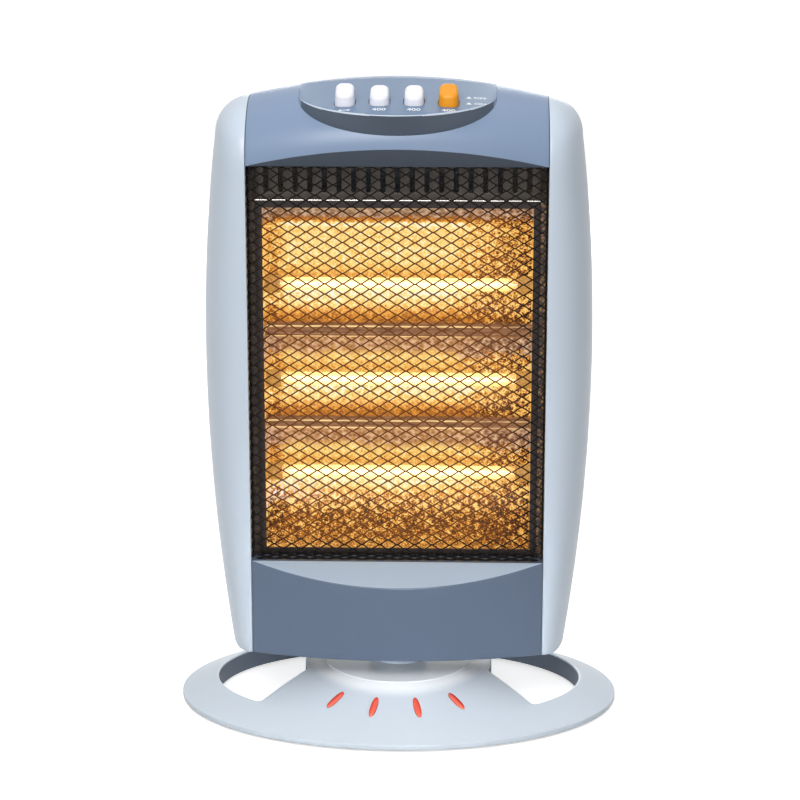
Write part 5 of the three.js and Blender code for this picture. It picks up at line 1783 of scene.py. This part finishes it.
def make_reflector_ends(curve):
    """End plates with a hole for each lamp's cap."""
    outline = [(y, z) for y, z in curve[::4]] + [curve[-1]]
    outline = [(max(y, FLANGE_Y + 0.1) + 0.6, z) for y, z in outline]
    holes = [circle(LAMP_Y, z, 8.5, 40) for z in LAMP_Z]
    for side, word in ((-1, "left"), (1, "right")):
        bm = plate(outline, holes, SHEET, 0.15)
        for vert in bm.verts:
            y, z, x = vert.co
            vert.co = (side * (REFLECTOR_X + SHEET / 2 + 0.05) + x, y, z)
        finish_piece(
            f"sheet_reflector_end_{word}", bm, "head", "reflector_metal", angle=30,
            materials=[MATERIALS["reflector_metal"]],
        )


def make_flange():
    """The flat frame round the reflector's mouth, with a folded pebbled wing down each side."""
    outline, hole = (
        [(-x, low), (x, low), (x, high), (-x, high)]
        for x, low, high in (
            (FLANGE_X, FLANGE_BOTTOM, FLANGE_TOP), (REFLECTOR_X, REFLECTOR_BOTTOM, REFLECTOR_TOP),
        )
    )
    bm = plate(outline, [hole], SHEET, 0.25)
    for vert in bm.verts:
        x, z, y = vert.co
        vert.co = (x, FLANGE_Y + SHEET / 2 + y, z)
    finish_piece(
        "sheet_reflector_flange", bm, "head", "reflector_metal", angle=30, materials=[FLANGE_METAL],
    )
    for side, word in ((-1, "left"), (1, "right")):
        rings = []
        inner, outer = FLANGE_X + 0.1, WINDOW_X - 0.6
        for z in steps(FLANGE_BOTTOM, FLANGE_TOP, 220):
            ring = []
            for x in steps(inner, outer, 5):
                cell = Vector((x / 3, z / 3, side * 9))
                bulge = 0.35 * (noise.noise(cell, noise_basis="VORONOI_F1") + 0.2)
                ring.append((side * x, FLANGE_Y + 1.4 - bulge, z))
            ring += [(side * outer, FLANGE_Y + 2.4, z), (side * inner, FLANGE_Y + 2.4, z)]
            rings.append(ring)
        finish_piece(
            f"sheet_wing_{word}", skin(rings), "head", "reflector_metal", angle=60,
            materials=[WING_METAL],
        )


def make_lamp(i, z):
    bore = TUBE_RADIUS - 1
    profile = [(bore, -TUBE_X), (TUBE_RADIUS, -TUBE_X), (TUBE_RADIUS, TUBE_X), (bore, TUBE_X)]
    bm = lathe(profile, 40, lambda px, py, height: (height, LAMP_Y + px, z + py))
    finish_piece(f"glass_tube_{i}", bm, "head", "quartz", [f"quartz_tube_{i}"], angle=40)
    make_coil(i, z, mm_box(f"filament_{i}")[1].x)


COIL_PITCH, COIL_RADIUS, COIL_WIRE = 1.5, 2.1, 0.55


def make_coil(i, z, end_x):
    """One unbroken wire: a close coil with straight ends that run into the caps."""
    half = TUBE_X - 8
    centres = [(-end_x, 0, 0), (-half - 2, 0, 0)]
    per_turn = 10
    turns = int(2 * half / COIL_PITCH)
    for k in range(turns * per_turn + 1):
        a = 2 * math.pi * k / per_turn
        x = -half + COIL_PITCH * k / per_turn
        centres.append((x, COIL_RADIUS * math.cos(a), COIL_RADIUS * math.sin(a)))
    centres += [(half + 2, 0, 0), (end_x, 0, 0)]
    rings = []
    sides = 5
    for k, centre in enumerate(centres):
        before, after = centres[max(0, k - 1)], centres[min(len(centres) - 1, k + 1)]
        tangent = (Vector(after) - Vector(before)).normalized()
        side = Vector((0, 0, 1)).cross(tangent)
        side = side.normalized() if side.length > 1e-3 else Vector((0, 1, 0))
        up = tangent.cross(side)
        ring = []
        for j in range(sides):
            a = 2 * math.pi * j / sides
            point = Vector(centre) + (side * math.cos(a) + up * math.sin(a)) * COIL_WIRE / 2
            ring.append((point.x, LAMP_Y + point.y, z + point.z))
        rings.append(ring)
    finish_piece(
        f"coil_filament_{i}", skin(rings), "head", "filament_wire", [f"filament_{i}"], angle=80,
    )


# ------------------------------------------------------------------ pieces of the solids that stay

SLOTS = {row["node"]: row["material_slot"] for row in frame["record"]["subparts"]}
STAYING = {  # width of each node's rounded edges
    "base_bottom_plate": 0.3, "swing_slot_plate": 0.2, "chassis_floor": 0.2, "motor_bracket": 0.2,
    "lamp_bracket_left": 0.2, "lamp_bracket_right": 0.2, "switch_bracket": 0.2, "grip_cup": 0.6,
    "cord_gland": 0.4, "pivot_washer": 0.3, "pivot_nut": 0.4, "tip_switch": 0.5, "tip_plunger": 0.4,
    "swing_motor": 0.5, "swing_crank": 0.3, "terminal_block": 0.6,
}
for i in range(1, 5):
    STAYING[f"foot_{i}"] = 0.4
    STAYING[f"switch_{i}"] = 0.4
for i in (1, 2, 3):
    STAYING[f"ceramic_cap_{i}_left"] = 0.5
    STAYING[f"ceramic_cap_{i}_right"] = 0.5


BASE_SCREWS = [(-52, -78), (52, -78), (52, 78), (-52, 78)]
BASE_SCREW_Z = 2.3


def dress_staying_nodes():
    angle = 30
    for node, width in STAYING.items():
        piece = frame["nodes"][node]
        piece.data.materials.clear()
        # The lamps' ceramic caps take a painted glow.
        lamp_lit = node.startswith("ceramic_cap")
        piece.data.materials.append(LAMPLIT_CERAMIC if lamp_lit else MATERIALS[SLOTS[node]])
        piece.data.shade_smooth()
        piece.data.set_sharp_from_angle(angle=math.radians(angle))
        add_rounding(piece, width, angle)


def make_base_screws():
    for i, (x, y) in enumerate(BASE_SCREWS):
        make_screw(
            f"screw_base_{i + 1}", "base",
            lambda px, py, h: (x + px, y - py, BASE_SCREW_Z - h), 3.2,
        )


for side in (-1, 1):
    make_side_cover(side)
make_top_cover()
make_lower_panel()
make_rear_cover()
make_base_shell()
for i, marker in enumerate(MARKERS):
    make_marker(i + 1, marker)
make_neck()
for i in range(4):
    make_button(i)
make_prints()
make_grille()
make_vent_plate()
make_reflector()
for i, z in enumerate(LAMP_Z):
    make_lamp(i + 1, z)
make_base_screws()
dress_staying_nodes()

# ------------------------------------------------------------------ floor, light and camera

FLOOR_SIDES = 96
WORLD_LOW, WORLD_HIGH = 0.2, 0.6
AREA_LAMPS = [  # name, place, target, size, power, spread in degrees
    ("key", (-0.38, -2.1, 1.8), (0, 0, 0.25), 1.3, 42, 180),
    ("top", (0.1, 0.2, 2.6), (0, 0, 0.2), 1.8, 5, 180),
    ("fill", (0.2, -2.3, 0.3), (0, 0, 0.05), 0.8, 3, 180),
    ("back", (0.1, 2.3, 0.9), (0, 0, 0.25), 1.2, 14, 180),
    ("low", (0.05, -1.2, 0.27), (0, -0.02, 0.01), 0.3, 0.15, 26),
]
CAMERA_PLACE = (0.055, -1.901, 0.771)
CAMERA_TILT, CAMERA_TURN = math.radians(74.965), math.radians(1.62)
CAMERA_LENS = 107.25


def seen_rays(shader):
    """1 for rays that reach the camera straight, by reflection or through glass."""
    path = shader.add("ShaderNodeLightPath")
    direct = shader.math("MAXIMUM", path.outputs["Is Camera Ray"], path.outputs["Is Glossy Ray"])
    return shader.math("MAXIMUM", direct, path.outputs["Is Transmission Ray"])


def make_floor():
    """White to the camera, and plain grey to the light that it throws back up."""
    shader = Shader("floor_white")
    seen = seen_rays(shader)
    drift = shader.math("MULTIPLY", shader.noise(2, 2), 0.01)
    shader.set(
        Base_Color=shader.ramp(shader.math("ADD", seen, drift), [
            (0.0, (0.22, 0.225, 0.23, 1)), (1.0, (0.8, 0.8, 0.8, 1)),
        ]),
        Roughness=0.9,
        Emission_Color=(1, 1, 1, 1),
        Emission_Strength=shader.math("MULTIPLY", seen, 0.62),
    )
    shader.bsdf.inputs["Specular IOR Level"].default_value = 0.05
    rings = [circle(0, 0, radius, FLOOR_SIDES) for radius in (20000, 2600, 1200, 600)]
    bm = skin([[(x, y, 0) for x, y in ring] for ring in rings], caps=False)
    bm.faces.new(list(bm.verts)[-FLOOR_SIDES:])
    bmesh.ops.scale(bm, vec=(MM, MM, MM), verts=bm.verts)
    floor = linked("floor", bm)
    floor.data.materials.append(shader.material)


def area_lamp(name, place, target, size, power, spread):
    data = bpy.data.lights.new(name, "AREA")
    data.shape = "DISK"
    data.size = size
    data.energy = power
    data.spread = math.radians(spread)
    lamp = bpy.data.objects.new(name, data)
    lamp.location = place
    lamp.rotation_euler = (Vector(target) - Vector(place)).to_track_quat("-Z", "Y").to_euler()
    scene.collection.objects.link(lamp)


def make_world():
    """Soft light, stronger from above than from the sides; white where it is seen."""
    world = bpy.data.worlds.new("studio")
    world.use_nodes = True
    scene.world = world
    tree = world.node_tree
    background = tree.nodes["Background"]
    add = tree.nodes.new
    direction = add("ShaderNodeTexCoord")
    axes = add("ShaderNodeSeparateXYZ")
    tree.links.new(direction.outputs["Generated"], axes.inputs[0])
    sky = add("ShaderNodeMapRange")
    sky.inputs["From Min"].default_value = -0.05
    sky.inputs["From Max"].default_value = 0.9
    sky.inputs["To Min"].default_value = WORLD_LOW
    sky.inputs["To Max"].default_value = WORLD_HIGH
    tree.links.new(axes.outputs["Z"], sky.inputs["Value"])
    path = add("ShaderNodeLightPath")
    seen = path.outputs["Is Camera Ray"]
    for name in ("Is Glossy Ray", "Is Transmission Ray"):
        either = add("ShaderNodeMath")
        either.operation = "MAXIMUM"
        tree.links.new(seen, either.inputs[0])
        tree.links.new(path.outputs[name], either.inputs[1])
        seen = either.outputs[0]
    strength = add("ShaderNodeMapRange")
    tree.links.new(seen, strength.inputs["Value"])
    tree.links.new(sky.outputs[0], strength.inputs["To Min"])
    strength.inputs["To Max"].default_value = 1.0
    tree.links.new(strength.outputs[0], background.inputs["Strength"])
    background.inputs["Color"].default_value = (1, 1, 1, 1)


def make_camera():
    data = bpy.data.cameras.new("camera")
    data.lens = CAMERA_LENS
    data.sensor_width = 36
    camera = bpy.data.objects.new("camera", data)
    camera.location = CAMERA_PLACE
    camera.rotation_euler = (CAMERA_TILT, 0, CAMERA_TURN)
    scene.collection.objects.link(camera)
    scene.camera = camera


make_floor()
make_world()
for lamp in AREA_LAMPS:
    area_lamp(*lamp)
make_camera()
scene.view_settings.view_transform = "Standard"
